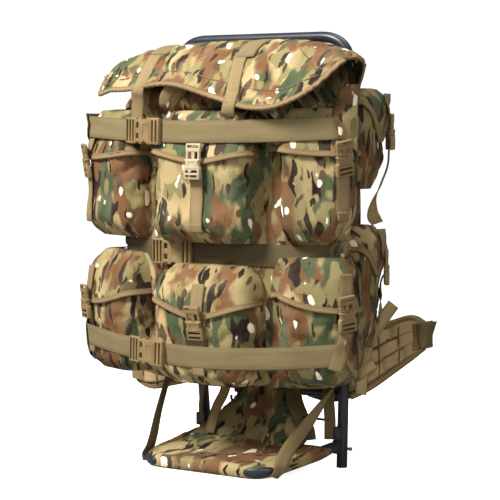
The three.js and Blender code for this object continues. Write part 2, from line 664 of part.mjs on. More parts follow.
// The hip belt: a padded band behind the uprights, its wings standing out to the sides
const PAD = 13; // thickness of the belt's padding
const BELT_SEAT = 4.2; // front of the belt, just clear of the uprights
const BELT_ROWS = [
  { x: -344, y: 32, low: 112, high: 170 },
  { x: -318, y: 31, low: 102, high: 188 },
  { x: -250, y: 22, low: 112, high: 208 },
  { x: -186, y: 9, low: 128, high: 228 },
  { x: -150, y: BELT_SEAT, low: 138, high: 238 },
  { x: 0, y: BELT_SEAT, low: 132, high: 240 },
  { x: 150, y: BELT_SEAT, low: 118, high: 236 },
  { x: 190, y: 12, low: 130, high: 242 },
  { x: 236, y: 22, low: 156, high: 262 },
  { x: 276, y: 26, low: 190, high: 278 },
  { x: 296, y: 27, low: 212, high: 266 },
];
const beltGrid = BELT_ROWS.map((row) =>
  [0, 0.5, 1].map((share) => point(row.x, row.y, mix(row.low, row.high, share))),
);
add("hip_belt", sheet(beltGrid, -PAD), "camouflage");

// Each belt end has a webbing strap folded round it
const BELT_FOLD = [
  { out: -34, back: -3 },
  { out: 6, back: -2 },
  { out: 12, back: PAD / 2 },
  { out: 6, back: PAD + 2 },
  { out: -30, back: PAD + 3 },
];
const BELT_ENDS = [
  { name: "left", side: -1, x: -344, y: 32, low: 116, high: 166, rise: 6 },
  { name: "right", side: 1, x: 296, y: 27, low: 216, high: 262, rise: 8 },
];
for (const row of BELT_ENDS) {
  const grid = BELT_FOLD.map((fold) =>
    [row.low, row.high].map((z) => {
      const x = row.x + row.side * fold.out;
      return point(x, row.y + fold.back, z + (row.rise * fold.out) / 34);
    }),
  );
  add(`belt_strap_${row.name}`, sheet(grid, row.side * WEB), "webbing");
}

// The shoulder straps: padded, hanging from the upper cross tube and tied low on the uprights
const SHOULDER_ROWS = [
  { x: 60, y: -15, z: 580, half: 24, thick: 4 },
  { x: 62, y: -8, z: 606, half: 28, thick: 9 },
  { x: 64, y: 16, z: 622, half: 31, thick: 13 },
  { x: 68, y: 50, z: 606, half: 32, thick: 13 },
  { x: 74, y: 70, z: 540, half: 32, thick: 13 },
  { x: 82, y: 72, z: 440, half: 31, thick: 13 },
  { x: 94, y: 56, z: 358, half: 26, thick: 10 },
  { x: 118, y: 28, z: 304, half: 14, thick: 4 },
  { x: 154, y: -1.6, z: 262, half: 13, thick: 3 },
];
for (const side of [-1, 1]) {
  const grid = SHOULDER_ROWS.map((row) =>
    [-1, 0, 1].map((across) => point(side * row.x + across * row.half, row.y, row.z)),
  );
  const thick = SHOULDER_ROWS.map((row) => -row.thick);
  add(`shoulder_strap_${side < 0 ? "left" : "right"}`, sheet(grid, thick), "camouflage");
}

// Moves everything so that the middle of the footprint is the origin
const rucksack = new THREE.Group();
rucksack.add(nodes);
const bounds = new THREE.Box3().setFromObject(nodes);
const middle = bounds.getCenter(new THREE.Vector3());
nodes.position.set(-middle.x, -middle.y, -bounds.min.z);

export default rucksack;
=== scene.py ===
# %% [markdown]
# # A military rucksack on a tube frame
# The pack stands on the legs of its black tube frame and on a fold-down shelf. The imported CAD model
# is loaded first and gives every place and size. The cloth, the webbing and the buckles are then
# made over it, one step at a time, and each finished piece takes over from its plain solid.

import json
import math
from collections import namedtuple

import bmesh
import bpy
import numpy as np
from mathutils import Matrix, Vector, noise
from mathutils.bvhtree import BVHTree

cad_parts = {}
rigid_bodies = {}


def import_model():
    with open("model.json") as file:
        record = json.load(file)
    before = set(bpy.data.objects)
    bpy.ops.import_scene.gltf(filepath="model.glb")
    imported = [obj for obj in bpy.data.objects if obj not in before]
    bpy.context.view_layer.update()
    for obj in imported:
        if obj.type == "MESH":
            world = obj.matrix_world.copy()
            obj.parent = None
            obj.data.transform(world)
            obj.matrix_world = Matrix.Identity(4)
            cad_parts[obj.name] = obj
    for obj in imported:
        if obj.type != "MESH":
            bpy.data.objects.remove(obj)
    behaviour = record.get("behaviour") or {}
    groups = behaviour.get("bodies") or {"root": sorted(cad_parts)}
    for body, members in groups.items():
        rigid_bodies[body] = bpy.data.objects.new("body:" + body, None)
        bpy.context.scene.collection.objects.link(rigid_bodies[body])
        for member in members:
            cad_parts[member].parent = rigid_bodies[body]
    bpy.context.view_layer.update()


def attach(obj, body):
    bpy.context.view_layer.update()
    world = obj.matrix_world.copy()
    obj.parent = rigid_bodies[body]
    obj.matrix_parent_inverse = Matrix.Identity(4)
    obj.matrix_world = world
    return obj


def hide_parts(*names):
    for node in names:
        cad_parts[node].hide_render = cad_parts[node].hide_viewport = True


noise.seed_set(7)  # the same creases in each run
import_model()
bpy.ops.object.select_all(action="DESELECT")

# %% [markdown]
# ## Places and units
# The pack is easiest to think of in millimetres, from the point on the floor between its two legs.
# The part's own origin is the middle of its footprint, so one shift leads from one to the other.

# %% From pack millimetres to metres in the part's frame
MM = 0.001
SHIFT = np.array((24.0, 79.44, 0.0))
SIDES = ((-1, "left"), (1, "right"))


def to_part(points):
    return (np.asarray(points, float) + SHIFT) * MM


# %% [markdown]
# ## Camera, floor and light
# The photograph looks at the pack from 36 degrees to its right, slightly downwards, through a long
# lens. The floor and the sky are plain and pale, and wide lamps keep the shadows soft.

# %% Camera
CAMERA_AT = (1982.0, -2799.0, 599.0)
CAMERA_TURN = math.radians(36.0)
CAMERA_DIP = math.radians(3.737)
FOCAL_PIXELS = 1929.0
FRAME_PIXELS = 500.0

camera_data = bpy.data.cameras.new("camera")
camera_data.sensor_width = 36.0
camera_data.lens = FOCAL_PIXELS / FRAME_PIXELS * camera_data.sensor_width
camera_data.clip_end = 50.0
camera = bpy.data.objects.new("camera", camera_data)
bpy.context.scene.collection.objects.link(camera)
looking = Vector((
    -math.sin(CAMERA_TURN) * math.cos(CAMERA_DIP),
    math.cos(CAMERA_TURN) * math.cos(CAMERA_DIP),
    -math.sin(CAMERA_DIP),
))
camera.location = to_part(CAMERA_AT)
camera.rotation_mode = "QUATERNION"
camera.rotation_quaternion = looking.to_track_quat("-Z", "Y")
bpy.context.scene.camera = camera
print("lens", round(camera_data.lens, 2))

# %% Floor
bpy.ops.mesh.primitive_plane_add(size=40.0, location=(0, 0, 0))
floor = bpy.context.object
floor.name = "floor"

# %% Lamps and sky
# Columns: name, place in metres, what it looks at, side of the square lamp in metres, watts
LAMPS = [
    ("lamp_key", (-0.85, -2.3, 2.85), (0.0, 0.0, 0.35), 0.9, 232.0),
    ("lamp_fill", (2.2, -2.0, 1.5), (0.0, 0.0, 0.35), 1.2, 27.0),
    ("lamp_top", (0.4, 0.4, 2.4), (0.0, 0.0, 0.3), 1.4, 24.0),
]
SKY_SEEN = 1.05  # the plain white that the camera sees
SKY_LIGHT = 0.16  # the light that the sky gives

for name, at, target, side, watts in LAMPS:
    lamp = bpy.data.lights.new(name, "AREA")
    lamp.energy = watts
    lamp.size = side
    holder = bpy.data.objects.new(name, lamp)
    bpy.context.scene.collection.objects.link(holder)
    holder.location = at
    aim = Vector(target) - Vector(at)
    holder.rotation_euler = aim.to_track_quat("-Z", "Y").to_euler()
world = bpy.data.worlds.new("studio")
world.use_nodes = True
nodes, links = world.node_tree.nodes, world.node_tree.links
sky = nodes["Background"]
sky.inputs["Color"].default_value = (1, 1, 1, 1)
rays = nodes.new("ShaderNodeLightPath")
strength = nodes.new("ShaderNodeMapRange")
strength.inputs["To Min"].default_value = SKY_LIGHT
strength.inputs["To Max"].default_value = SKY_SEEN
links.new(rays.outputs["Is Camera Ray"], strength.inputs["Value"])
links.new(strength.outputs["Result"], sky.inputs["Strength"])
bpy.context.scene.world = world
bpy.context.scene.view_settings.view_transform = "Standard"

# %% [markdown]
# ## Materials by arithmetic
# A material is a small formula over the surface. One class holds the node tree and adds nodes. The
# other wraps a socket, so that a mask can be written as plain arithmetic.

# %% Shader arithmetic


class Wire:
    """A socket that can be added, multiplied and compared."""

    def __init__(self, finish, socket):
        self.finish = finish
        self.socket = socket

    def reckon(self, operation, first, second=0.0):
        return self.finish.add("ShaderNodeMath", {"operation": operation}, {0: first, 1: second})

    def __add__(self, other):
        return self.reckon("ADD", self, other)

    __radd__ = __add__

    def __sub__(self, other):
        return self.reckon("SUBTRACT", self, other)

    def __rsub__(self, other):
        return self.reckon("SUBTRACT", other, self)

    def __mul__(self, other):
        return self.reckon("MULTIPLY", self, other)

    __rmul__ = __mul__

    def above(self, edge, blur):
        """0 below the edge and 1 above it, with a short slope of that width."""
        limits = {1: edge - blur, 2: edge + blur}
        return self.finish.add("ShaderNodeMapRange", {}, {0: self, **limits})

    def wave(self, length):
        return self.reckon("SINE", self * (2 * math.pi / length))

    def size(self):
        return self.reckon("ABSOLUTE", self)

    def most(self, other):
        return self.reckon("MAXIMUM", self, other)

    def share(self, length):
        """How far along its repeat a value is, from 0 to 1."""
        return self.reckon("FRACT", self * (1 / length))


class Finish:
    """A material and its nodes."""

    def __init__(self, name):
        self.material = bpy.data.materials.new(name)
        self.material.use_nodes = True
        self.tree = self.material.node_tree
        self.tree.nodes.clear()

    def add(self, kind, settings, inputs, output=0):
        node = self.tree.nodes.new(kind)
        for key, value in settings.items():
            setattr(node, key, value)
        for key, value in inputs.items():
            if isinstance(value, Wire):
                self.tree.links.new(value.socket, node.inputs[key])
            else:
                node.inputs[key].default_value = value
        return Wire(self, node.outputs[output])

    def mix(self, factor, first, second):
        colours = {"Factor": factor, 6: first, 7: second}
        return self.add("ShaderNodeMix", {"data_type": "RGBA"}, colours, 2)

    def grain(self, vector, scale, detail=2.0, shift=0.0):
        """Smooth noise. A shift moves to another part of the same noise."""
        settings = {"noise_dimensions": "4D"}
        inputs = {"Vector": vector, "W": shift, "Scale": scale, "Detail": detail}
        return self.add("ShaderNodeTexNoise", settings, inputs)

    def stretched(self, vector, scale, turn=0.0):
        settings = {"vector_type": "POINT"}
        inputs = {"Vector": vector, "Rotation": (0, 0, turn), "Scale": scale}
        return self.add("ShaderNodeMapping", settings, inputs)

    def parts(self, vector):
        node = self.tree.nodes.new("ShaderNodeSeparateXYZ")
        self.tree.links.new(vector.socket, node.inputs[0])
        return [Wire(self, socket) for socket in node.outputs]

    def coordinates(self, output):
        return self.add("ShaderNodeTexCoord", {}, {}, output)

    def bump(self, height, strength, distance):
        inputs = {"Strength": strength, "Distance": distance, "Height": height}
        return self.add("ShaderNodeBump", {}, inputs)

    def close(self, **sockets):
        inputs = {key.replace("_", " "): value for key, value in sockets.items()}
        shader = self.add("ShaderNodeBsdfPrincipled", {}, inputs)
        end = self.tree.nodes.new("ShaderNodeOutputMaterial")
        self.tree.links.new(shader.socket, end.inputs[0])
        return self.material


def paint(red, green, blue):
    """A colour as a screen shows it, turned into the linear one that shaders take."""
    linear = [((c / 255 + 0.055) / 1.055) ** 2.4 for c in (red, green, blue)]
    return (*linear, 1.0)


# %% [markdown]
# ## The printed cloth
# The bag is sewn from coated nylon with a woven grid and a print of hard-edged blotches. The print
# here is a plain blotch camouflage in the same colours: a khaki ground, brown and green patches,
# dark slivers and pale spots. It is drawn in the cloth's own coordinates, in metres along each
# panel, so that it follows folds and breaks at seams as printed cloth does.

# %% Printed cloth
KHAKI = paint(134, 122, 78)
SAND = paint(182, 158, 112)
BROWN = paint(112, 74, 44)
GREEN = paint(70, 80, 52)
BARK = paint(84, 62, 38)
DARK = paint(36, 22, 14)
CREAM = paint(244, 232, 208)
FADED = paint(206, 190, 150)
GRID = 0.0052  # spacing of the reinforcing threads
THREAD = 0.0011  # spacing of the plain threads


def printed_cloth(name):
    f = Finish(name)
    uv = f.coordinates("UV")
    warp = f.grain(f.stretched(uv, (38, 38, 1)), 1.0, 2.0, 3.1)
    u, v, _ = f.parts(uv)
    bent = f.add("ShaderNodeCombineXYZ", {}, {0: u + warp * 0.016, 1: v - warp * 0.02})
    tall = f.stretched(bent, (1.25, 0.72, 1), 0.25)
    ground = f.grain(tall, 9.0, 1.0, 0.4).above(0.5, 0.14)
    brown = f.grain(tall, 12.5, 2.6, 5.3).above(0.5, 0.03)
    bark = f.grain(tall, 30.0, 1.6, 29.7).above(0.6, 0.014)
    green = f.grain(tall, 15.0, 2.4, 11.9).above(0.56, 0.018)
    leafy = f.grain(tall, 27.0, 1.6, 17.4).above(0.58, 0.014)
    slim = f.stretched(bent, (2.2, 0.8, 1), -0.45)
    twig = f.stretched(bent, (2.6, 1.0, 1), 0.35)
    dark = f.grain(slim, 23.0, 0.7, 23.2).above(0.64, 0.008)
    dark = dark.most(f.grain(twig, 25.0, 0.7, 53.0).above(0.65, 0.008))
    fleck = f.stretched(bent, (1.4, 1.0, 1), 0.5)
    cream = f.grain(fleck, 27.0, 0.8, 61.0).above(0.675, 0.008)
    colour = f.mix(ground, KHAKI, SAND)
    inks = [(brown, BROWN), (bark, BARK), (green, GREEN), (leafy, KHAKI), (dark, DARK), (cream, CREAM)]
    for mask, ink in inks:
        colour = f.mix(mask, colour, ink)
    lines = (u.share(GRID) - 0.5).size().most((v.share(GRID) - 0.5).size()).above(0.46, 0.03)
    weave = u.wave(THREAD) * v.wave(THREAD)
    cloudy = f.grain(uv, 24.0, 3.0, 41.0)
    colour = f.mix(cloudy.above(0.62, 0.2) * 0.16, colour, FADED)
    colour = f.mix(lines * 0.16, colour, DARK)
    rise = weave * 0.35 + lines * 0.8 + f.grain(uv, 160.0, 2.0, 43.0) * 0.9
    return f.close(
        Base_Color=colour,
        Roughness=0.8 - lines * 0.1 + cloudy * 0.1,
        Normal=f.bump(rise, 0.4, 0.0007),
        Specular_IOR_Level=0.25,
    )


CAMOUFLAGE = printed_cloth("camouflage")

# %% [markdown]
# ## Webbing, tape, plastic, thread and paint
# Straps are flat woven webbing with a firm edge and fine ribs along them. The binding tape is thinner
# and has a row of stitches. The buckles are moulded in a matt tan, and the tubes are powder coated.

# %% Webbing and tape
TAN = paint(130, 109, 74)
TAN_LIGHT = paint(154, 132, 92)
TAN_DEEP = paint(84, 68, 44)
STITCH = 0.0042  # length of one stitch and its gap


def woven_tan(name, width, deep, light, stitched):
    f = Finish(name)
    uv = f.coordinates("UV")
    u, v, _ = f.parts(uv)
    ribs = u.wave(0.0021) * 0.5
    slant = (u + v * 0.7).wave(0.0016) * 0.6 + (v - u * 0.4).wave(0.0011) * 0.4
    cloudy = f.grain(f.stretched(uv, (60, 14, 1)), 1.0, 3.0, 2.2)
    edge = (u - width / 2).size().above(width / 2 - 0.0022, 0.0006)
    colour = f.mix(cloudy.above(0.5, 0.3), deep, light)
    colour = f.mix((slant + ribs).above(0.2, 0.9) * 0.22, colour, TAN_DEEP)
    colour = f.mix(edge * 0.35, colour, TAN_DEEP)
    rise = slant + ribs + edge * 0.8
    if stitched:
        row = (0.0006 - (u - width + 0.0026).size()).above(0.0, 0.0002)
        thread = row * (v.share(STITCH) - 0.5).size().above(0.14, 0.03)
        colour = f.mix(thread * 0.6, colour, TAN_DEEP)
        rise = rise - row * 2.2 + thread * 2.0
    return f.close(
        Base_Color=colour,
        Roughness=0.78 + cloudy * 0.12,
        Normal=f.bump(rise, 0.4, 0.0005),
        Specular_IOR_Level=0.3,
    )


WIDE = 38.0  # compression straps, mm
NARROW = 26.0  # pocket and lid straps, mm
TAPE = 10.0  # binding tape, mm
WIDE_WEBBING = woven_tan("wide_webbing", WIDE * MM, paint(118, 103, 69), paint(138, 122, 85), False)
NARROW_WEBBING = woven_tan("narrow_webbing", NARROW * MM, TAN, TAN_LIGHT, False)
# A darker copy of the wide webbing for the middle strap: its darkness is painted shade, for the shadow under
# the upper pockets.
SHADED_WEBBING = woven_tan("worn_webbing", WIDE * MM, paint(78, 67, 44), paint(96, 83, 56), False)
BINDING = woven_tan("binding", TAPE * MM, paint(126, 101, 66), paint(156, 129, 90), True)

# %% Plastic, paint and metal


def moulded(name, body, scuffed, roughness):
    f = Finish(name)
    place = f.coordinates("Object")
    fine = f.grain(place, 900.0, 2.0)
    broad = f.grain(place, 60.0, 3.0, 4.0)
    colour = f.mix(broad.above(0.62, 0.2) * 0.35, body, scuffed)
    return f.close(
        Base_Color=colour,
        Roughness=roughness + broad * 0.16,
        Normal=f.bump(fine, 0.12, 0.0003),
        Specular_IOR_Level=0.45,
    )


TAN_PLASTIC = moulded("tan_plastic", paint(128, 106, 68), paint(158, 134, 94), 0.4)
PALE_PLASTIC = moulded("pale_plastic", paint(172, 157, 126), paint(206, 194, 168), 0.36)
BLACK_PLASTIC = moulded("black_plastic", paint(30, 30, 32), paint(62, 62, 64), 0.42)
BLACK_PAINT = moulded("black_paint", paint(34, 38, 44), paint(58, 62, 68), 0.3)
steel = Finish("bright_steel")
scratches = steel.grain(steel.stretched(steel.coordinates("Object"), (400, 400, 4000)), 1.0, 2.0)
STEEL = steel.close(
    Base_Color=paint(190, 190, 192),
    Metallic=1.0,
    Roughness=0.22 + scratches * 0.16,
)
pale = Finish("pale_floor")
mottle = pale.grain(pale.coordinates("Object"), 3.0, 2.0)
seen = pale.add("ShaderNodeLightPath", {}, {}, "Is Camera Ray")
pale_colour = pale.mix(mottle, paint(246, 246, 247), paint(250, 250, 250))
pale_colour = pale.mix(seen, paint(150, 148, 144), pale_colour)
PALE_FLOOR = pale.close(
    Base_Color=pale_colour,
    Roughness=0.75 + mottle * 0.1,
    Specular_IOR_Level=0.2,
    Emission_Color=pale.mix(seen, (0.04, 0.04, 0.04, 1), (1, 1, 1, 1)),
    Emission_Strength=0.88,
)
floor.data.materials.append(PALE_FLOOR)
print("materials", len(bpy.data.materials))

# %% [markdown]
# ## Making and finishing pieces
# Soft pieces are lofted: rows of points are worked out first, and faces are laid over them. Each
# keeps a map of its cloth, in metres. A finished piece rides on the pack, and the solids that it
# stands for are hidden.

# %% Pieces from points and faces


def ride(piece, slot, *nodes):
    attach(piece, "root")
    if nodes:
        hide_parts(*nodes)
    return piece


def lay_map(mesh, flat):
    """Gives each corner of a mesh the place of its point on the flat cloth."""
    corners = np.zeros(len(mesh.loops), int)
    mesh.loops.foreach_get("vertex_index", corners)
    mesh.uv_layers["cloth"].uv.foreach_set("vector", np.asarray(flat, np.float32)[corners].ravel())


def mesh_piece(name, points, faces, flat, material):
    """A mesh from points in pack millimetres, with its cloth map in metres."""
    mesh = bpy.data.meshes.new(name)
    mesh.from_pydata(to_part(points).tolist(), [], faces)
    mesh.uv_layers.new(name="cloth")
    lay_map(mesh, flat)
    mesh.materials.append(material)
    piece = bpy.data.objects.new(name, mesh)
    bpy.context.scene.collection.objects.link(piece)
    face_out(piece)
    mesh.shade_smooth()
    return piece


def face_out(piece):
    work = bmesh.new()
    work.from_mesh(piece.data)
    bmesh.ops.recalc_face_normals(work, faces=work.faces)
    work.to_mesh(piece.data)
    work.free()


def points_of(piece):
    """The piece's points, in pack millimetres."""
    found = np.zeros(len(piece.data.vertices) * 3)
    piece.data.vertices.foreach_get("co", found)
    return found.reshape(-1, 3) / MM - SHIFT


def move_points(piece, points):
    piece.data.vertices.foreach_set("co", to_part(points).astype(np.float32).ravel())
    piece.data.update()


def only(piece):
    """Selects one piece alone and makes it active."""
    bpy.ops.object.select_all(action="DESELECT")
    piece.select_set(True)
    bpy.context.view_layer.objects.active = piece


def finish_with(piece, kind, **settings):
    """Adds a modifier and applies it at once."""
    only(piece)
    modifier = piece.modifiers.new(kind.lower(), kind)
    for key, value in settings.items():
        setattr(modifier, key, value)
    bpy.ops.object.modifier_apply(modifier=modifier.name)
    return piece


def unit(vectors):
    return vectors / np.maximum(np.linalg.norm(vectors, axis=-1, keepdims=True), 1e-9)


def smooth_curve(places, values):
    """A smooth curve through a table's rows, as a function."""
    xs, ys = np.asarray(places, float), np.asarray(values, float)
    slopes = np.gradient(ys, xs)

    def read(x):
        x = np.clip(x, xs[0], xs[-1])
        i = np.clip(np.searchsorted(xs, x) - 1, 0, len(xs) - 2)
        h = xs[i + 1] - xs[i]
        t = (x - xs[i]) / h
        near = ys[i] * (2 * t**3 - 3 * t**2 + 1) + slopes[i] * h * (t**3 - 2 * t**2 + t)
        return near + ys[i + 1] * (3 * t**2 - 2 * t**3) + slopes[i + 1] * h * (t**3 - t**2)

    return read


def along(points):
    """Distance along a row of points, from its start."""
    steps = np.linalg.norm(np.diff(points, axis=0), axis=1)
    return np.concatenate([[0.0], np.cumsum(steps)])


def read_off(stops, far, rows):
    """The rows of a table, read at some distances along it."""
    return np.stack([np.interp(stops, far, rows[:, k]) for k in range(rows.shape[1])], -1)


def respaced(points, count, closed=False):
    """The same line with evenly spaced points."""
    line = np.asarray(points, float)
    if closed:
        line = np.vstack([line, line[:1]])
    far = along(line)
    stops = np.linspace(0, far[-1], count + closed)[: count]
    return read_off(stops, far, line)


def smoothed(values, reach):
    """A row of values averaged over its neighbours."""
    weights = np.ones(2 * reach + 1) / (2 * reach + 1)
    return np.convolve(np.pad(values, reach, mode="edge"), weights, "valid")


def evened(rows, reach):
    """Rows of points averaged over their neighbours."""
    return np.stack([smoothed(column, reach) for column in rows.T], 1)


def flowing(points, step):
    """A smooth line through a few points, with points about a step apart."""
    line = np.asarray(points, float)
    far = along(line)
    count = max(2, int(far[-1] / step) + 1)
    stops = np.linspace(0, far[-1], count)
    return np.stack([smooth_curve(far, line[:, k])(stops) for k in range(3)], 1)


# %% Straps and tapes


def ribbon(name, line, across, width, thick, material, start=0.0):
    """Webbing along a line. across points over its width, and its edges are rounded off."""
    line = np.asarray(line, float)
    ahead = unit(np.gradient(line, axis=0))
    side = np.broadcast_to(np.asarray(across, float), line.shape)
    side = unit(side - ahead * (side * ahead).sum(1, keepdims=True))
    up = np.cross(side, ahead)
    columns = np.array([-0.5, -0.475, -0.25, 0.0, 0.25, 0.475, 0.5])
    rise = np.array([0.16, 0.5, 0.5, 0.5, 0.5, 0.5, 0.16])
    profile = [*zip(columns, rise), *zip(columns[::-1], -rise[::-1])]
    count = len(profile)
    rings = np.stack([line + side * a * width + up * r * thick for a, r in profile], 1)
    far = along(line) * MM + start
    flat = np.stack([
        np.broadcast_to(np.array([(a + 0.5) * width * MM for a, _ in profile]), rings.shape[:2]),
        np.broadcast_to(far[:, None], rings.shape[:2]),
    ], 2)
    faces = []
    for i in range(len(line) - 1):
        for k in range(count):
            n = (k + 1) % count
            faces.append((i * count + k, i * count + n, (i + 1) * count + n, (i + 1) * count + k))
    last = (len(line) - 1) * count
    half = count // 2
    for base in (0, last):
        for k in range(half - 1):
            faces.append((base + k, base + k + 1, base + count - 2 - k, base + count - 1 - k))
    return mesh_piece(name, rings.reshape(-1, 3), faces, flat.reshape(-1, 2), material)


def bound_edge(name, line, inward, thick, material=None, width=TAPE, lap=1.2):
    """Binding tape folded over the edge of a cloth."""
    inward = unit(np.asarray(inward, float))
    middle = np.asarray(line, float) + inward * (width / 2 - lap)
    return ribbon(name, middle, inward, width, thick, material or BINDING)


# %% Sheets and closed forms


def grid_normals(grid):
    return unit(np.cross(np.gradient(grid, axis=1), np.gradient(grid, axis=0)))


def flat_map(grid, at):
    """Where each point of a grid lay on the flat cloth, in metres, from its middle column."""
    grid = np.asarray(grid, float)
    middle = grid.shape[1] // 2
    over = np.stack([along(row) for row in grid])
    over -= over[:, middle : middle + 1]
    down = along(grid[:, middle])
    return np.stack([over * MM + at[0], np.broadcast_to(down[:, None], over.shape) * MM + at[1]], 2)


def shell(name, grid, thick, material, at=(0.0, 0.0)):
    """A sheet of cloth with two sides and closed edges over a grid of points."""
    grid = np.asarray(grid, float)
    rows, columns = grid.shape[:2]
    out = grid_normals(grid) * thick / 2
    points = np.concatenate([(grid + out).reshape(-1, 3), (grid - out).reshape(-1, 3)])
    flat = flat_map(grid, at).reshape(-1, 2)
    number = np.arange(rows * columns).reshape(rows, columns)
    under = number + rows * columns
    faces = []
    for i in range(rows - 1):
        for j in range(columns - 1):
            square = (slice(i, i + 2), slice(j, j + 2))
            a, b, c, d = number[square].ravel()
            faces.append((a, b, d, c))
            a, b, c, d = under[square].ravel()
            faces.append((a, c, d, b))
    rim = [*number[0, :], *number[1:, -1], *number[-1, -2::-1], *number[-2:0:-1, 0]]
    for a, b in zip(rim, rim[1:] + rim[:1]):
        faces.append((b, a, a + rows * columns, b + rows * columns))
    return mesh_piece(name, points, faces, np.concatenate([flat, flat]), material)


def closed_loft(name, rings, material, at=(0.0, 0.0)):
    """A closed form over rings of points, its two ends shut by a fan."""
    rings = np.asarray(rings, float)
    count, width = rings.shape[:2]
    points = np.concatenate([rings.reshape(-1, 3), [rings[0].mean(0)], [rings[-1].mean(0)]])
    over = np.stack([along(ring) for ring in rings])
    widest = over[over[:, -1].argmax()]
    down = along(rings.mean(1) + (rings[:, width // 2] - rings.mean(1)))
    flat = np.stack([
        np.broadcast_to((widest - widest[-1] / 2) * MM + at[0], over.shape),
        np.broadcast_to(down[:, None] * MM + at[1], over.shape),
    ], 2).reshape(-1, 2)
    flat = np.concatenate([flat, [[at[0], at[1]]], [[at[0], at[1] + down[-1] * MM]]])
    faces = []
    for i in range(count - 1):
        for k in range(width):
            n = (k + 1) % width
            faces.append((i * width + k, i * width + n, (i + 1) * width + n, (i + 1) * width + k))
    ends = [(0, count * width), ((count - 1) * width, count * width + 1)]
    for base, pole in ends:
        faces += [(base + k, base + (k + 1) % width, pole) for k in range(width)]
    return mesh_piece(name, points, faces, flat, material)


# %% [markdown]
# ## Letting cloth settle
# Filled cloth swells between its seams and buckles into soft creases. Blender's cloth does this: the
# seams are pinned, the cloth is cut a little too large for its place, and some pressure fills it.
# Twenty frames are run, each point's travel is capped, and the result becomes the mesh.

# %% Cloth settling
SETTLE_FRAMES = 20
JITTER = 0.7  # how far the points are nudged first, so that the cloth has a way to buckle, mm
FABRIC = {
    "quality": 6,
    "mass": 0.2,
    "tension_stiffness": 18,
    "compression_stiffness": 18,
    "shear_stiffness": 8,
    "bending_stiffness": 0.4,
    "use_pressure": True,
    "vertex_group_mass": "seams",
}


def settle(piece, pinned, spare, pressure, cap, seed):
    """Runs cloth on a piece. pinned is 1 at seams, spare is the share of extra cloth."""
    start = points_of(piece)
    jitter = np.array([noise.noise_vector(Vector(p) * 0.06 + Vector((seed, 0, 0))) for p in start])
    move_points(piece, start + jitter * JITTER * (1 - pinned)[:, None])
    group = piece.vertex_groups.new(name="seams")
    for index, weight in enumerate(pinned):
        group.add([index], float(weight), "REPLACE")
    cloth = piece.modifiers.new("cloth", "CLOTH")
    for key, value in FABRIC.items():
        setattr(cloth.settings, key, value)
    cloth.settings.shrink_min = -spare
    cloth.settings.uniform_pressure_force = pressure
    cloth.settings.effector_weights.gravity = 0
    cloth.collision_settings.use_collision = False
    cloth.point_cache.frame_end = SETTLE_FRAMES
    for number in range(1, SETTLE_FRAMES + 1):
        bpy.context.scene.frame_set(number)
    settled = piece.evaluated_get(bpy.context.evaluated_depsgraph_get())
    found = np.zeros(len(settled.data.vertices) * 3)
    settled.data.vertices.foreach_get("co", found)
    moved = found.reshape(-1, 3) / MM - SHIFT - start
    piece.modifiers.remove(cloth)
    piece.vertex_groups.remove(group)
    bpy.context.scene.frame_set(1)
    far = np.linalg.norm(moved, axis=1, keepdims=True)
    move_points(piece, start + moved * np.minimum(1, cap / np.maximum(far, 1e-6)))
    print("settled", piece.name, "moved up to", round(float(far.max()), 1), "mm")
    return piece


def tree_of(*pieces):
    """A search tree over the faces of some pieces, in metres."""
    points, faces = [], []
    for piece in pieces:
        base = len(points)
        points += [v.co.copy() for v in piece.data.vertices]
        faces += [[base + i for i in polygon.vertices] for polygon in piece.data.polygons]
    return BVHTree.FromPolygons(points, faces)


def kept_outside(points, tree, gap):
    """Points that lie inside a form, or too near it, moved out to its surface."""
    result = np.array(points, float)
    for k, place in enumerate(to_part(result)):
        near, out, _, _ = tree.find_nearest(Vector(place))
        if (Vector(place) - near).dot(out) < gap * MM:
            result[k] = np.array(near + out * gap * MM) / MM - SHIFT
    return result


print("helpers ready")

# %% [markdown]
# ## The tube frame
# The frame is one bent hoop with two cross tubes, and a lug at each leg for the shelf. A tube is
# drawn as a path with a round bevel, as when a wire is bent over a drawing, and then made a mesh.

# %% Paths for tubes
TUBE = 9.5
CROSS = 7.0
HEIGHT = 748.0
FOOT = 147.0
SHOULDER = 186.0
LEAN = 34.0
BEND = 62.0
FLOOR_CLEARANCE = 0.5  # the leaning leg's cut end dips this far below its centre


def on_frame(side, z):
    share = z / HEIGHT
    return np.array((side * (FOOT + (SHOULDER - FOOT) * share), -LEAN * share, z))


def rounded_path(corners, reach, steps=14):
    """Straight runs whose inner corners are rounded off."""
    path = [np.asarray(corners[0], float)]
    for before, corner, after in zip(corners, corners[1:], corners[2:]):
        into = corner + unit(np.asarray(before) - corner) * reach
        out = corner + unit(np.asarray(after) - corner) * reach
        for t in np.linspace(0, 1, steps):
            path.append(into * (1 - t) ** 2 + 2 * corner * t * (1 - t) + out * t**2)
    path.append(np.asarray(corners[-1], float))
    return np.array(path)


def tube(name, line, radius, material):
    bpy.ops.object.select_all(action="DESELECT")
    bpy.ops.curve.primitive_nurbs_path_add()
    piece = bpy.context.object
    piece.name = name
    curve = piece.data
    curve.splines.clear()
    spline = curve.splines.new("POLY")
    spline.points.add(len(line) - 1)
    for point, at in zip(spline.points, to_part(line)):
        point.co = (*at, 1.0)
    curve.bevel_depth = radius * MM
    curve.bevel_resolution = 6
    curve.use_fill_caps = True
    only(piece)
    bpy.ops.object.convert(target="MESH")
    piece = bpy.context.object
    piece.data.materials.clear()
    piece.data.materials.append(material)
    only(piece)
    bpy.ops.object.mode_set(mode="EDIT")
    bpy.ops.mesh.select_all(action="SELECT")
    bpy.ops.mesh.remove_doubles(threshold=0.00001)
    bpy.ops.mesh.normals_make_consistent(inside=False)
    bpy.ops.object.mode_set(mode="OBJECT")
    bpy.ops.object.shade_smooth_by_angle(angle=math.radians(50))
    return piece


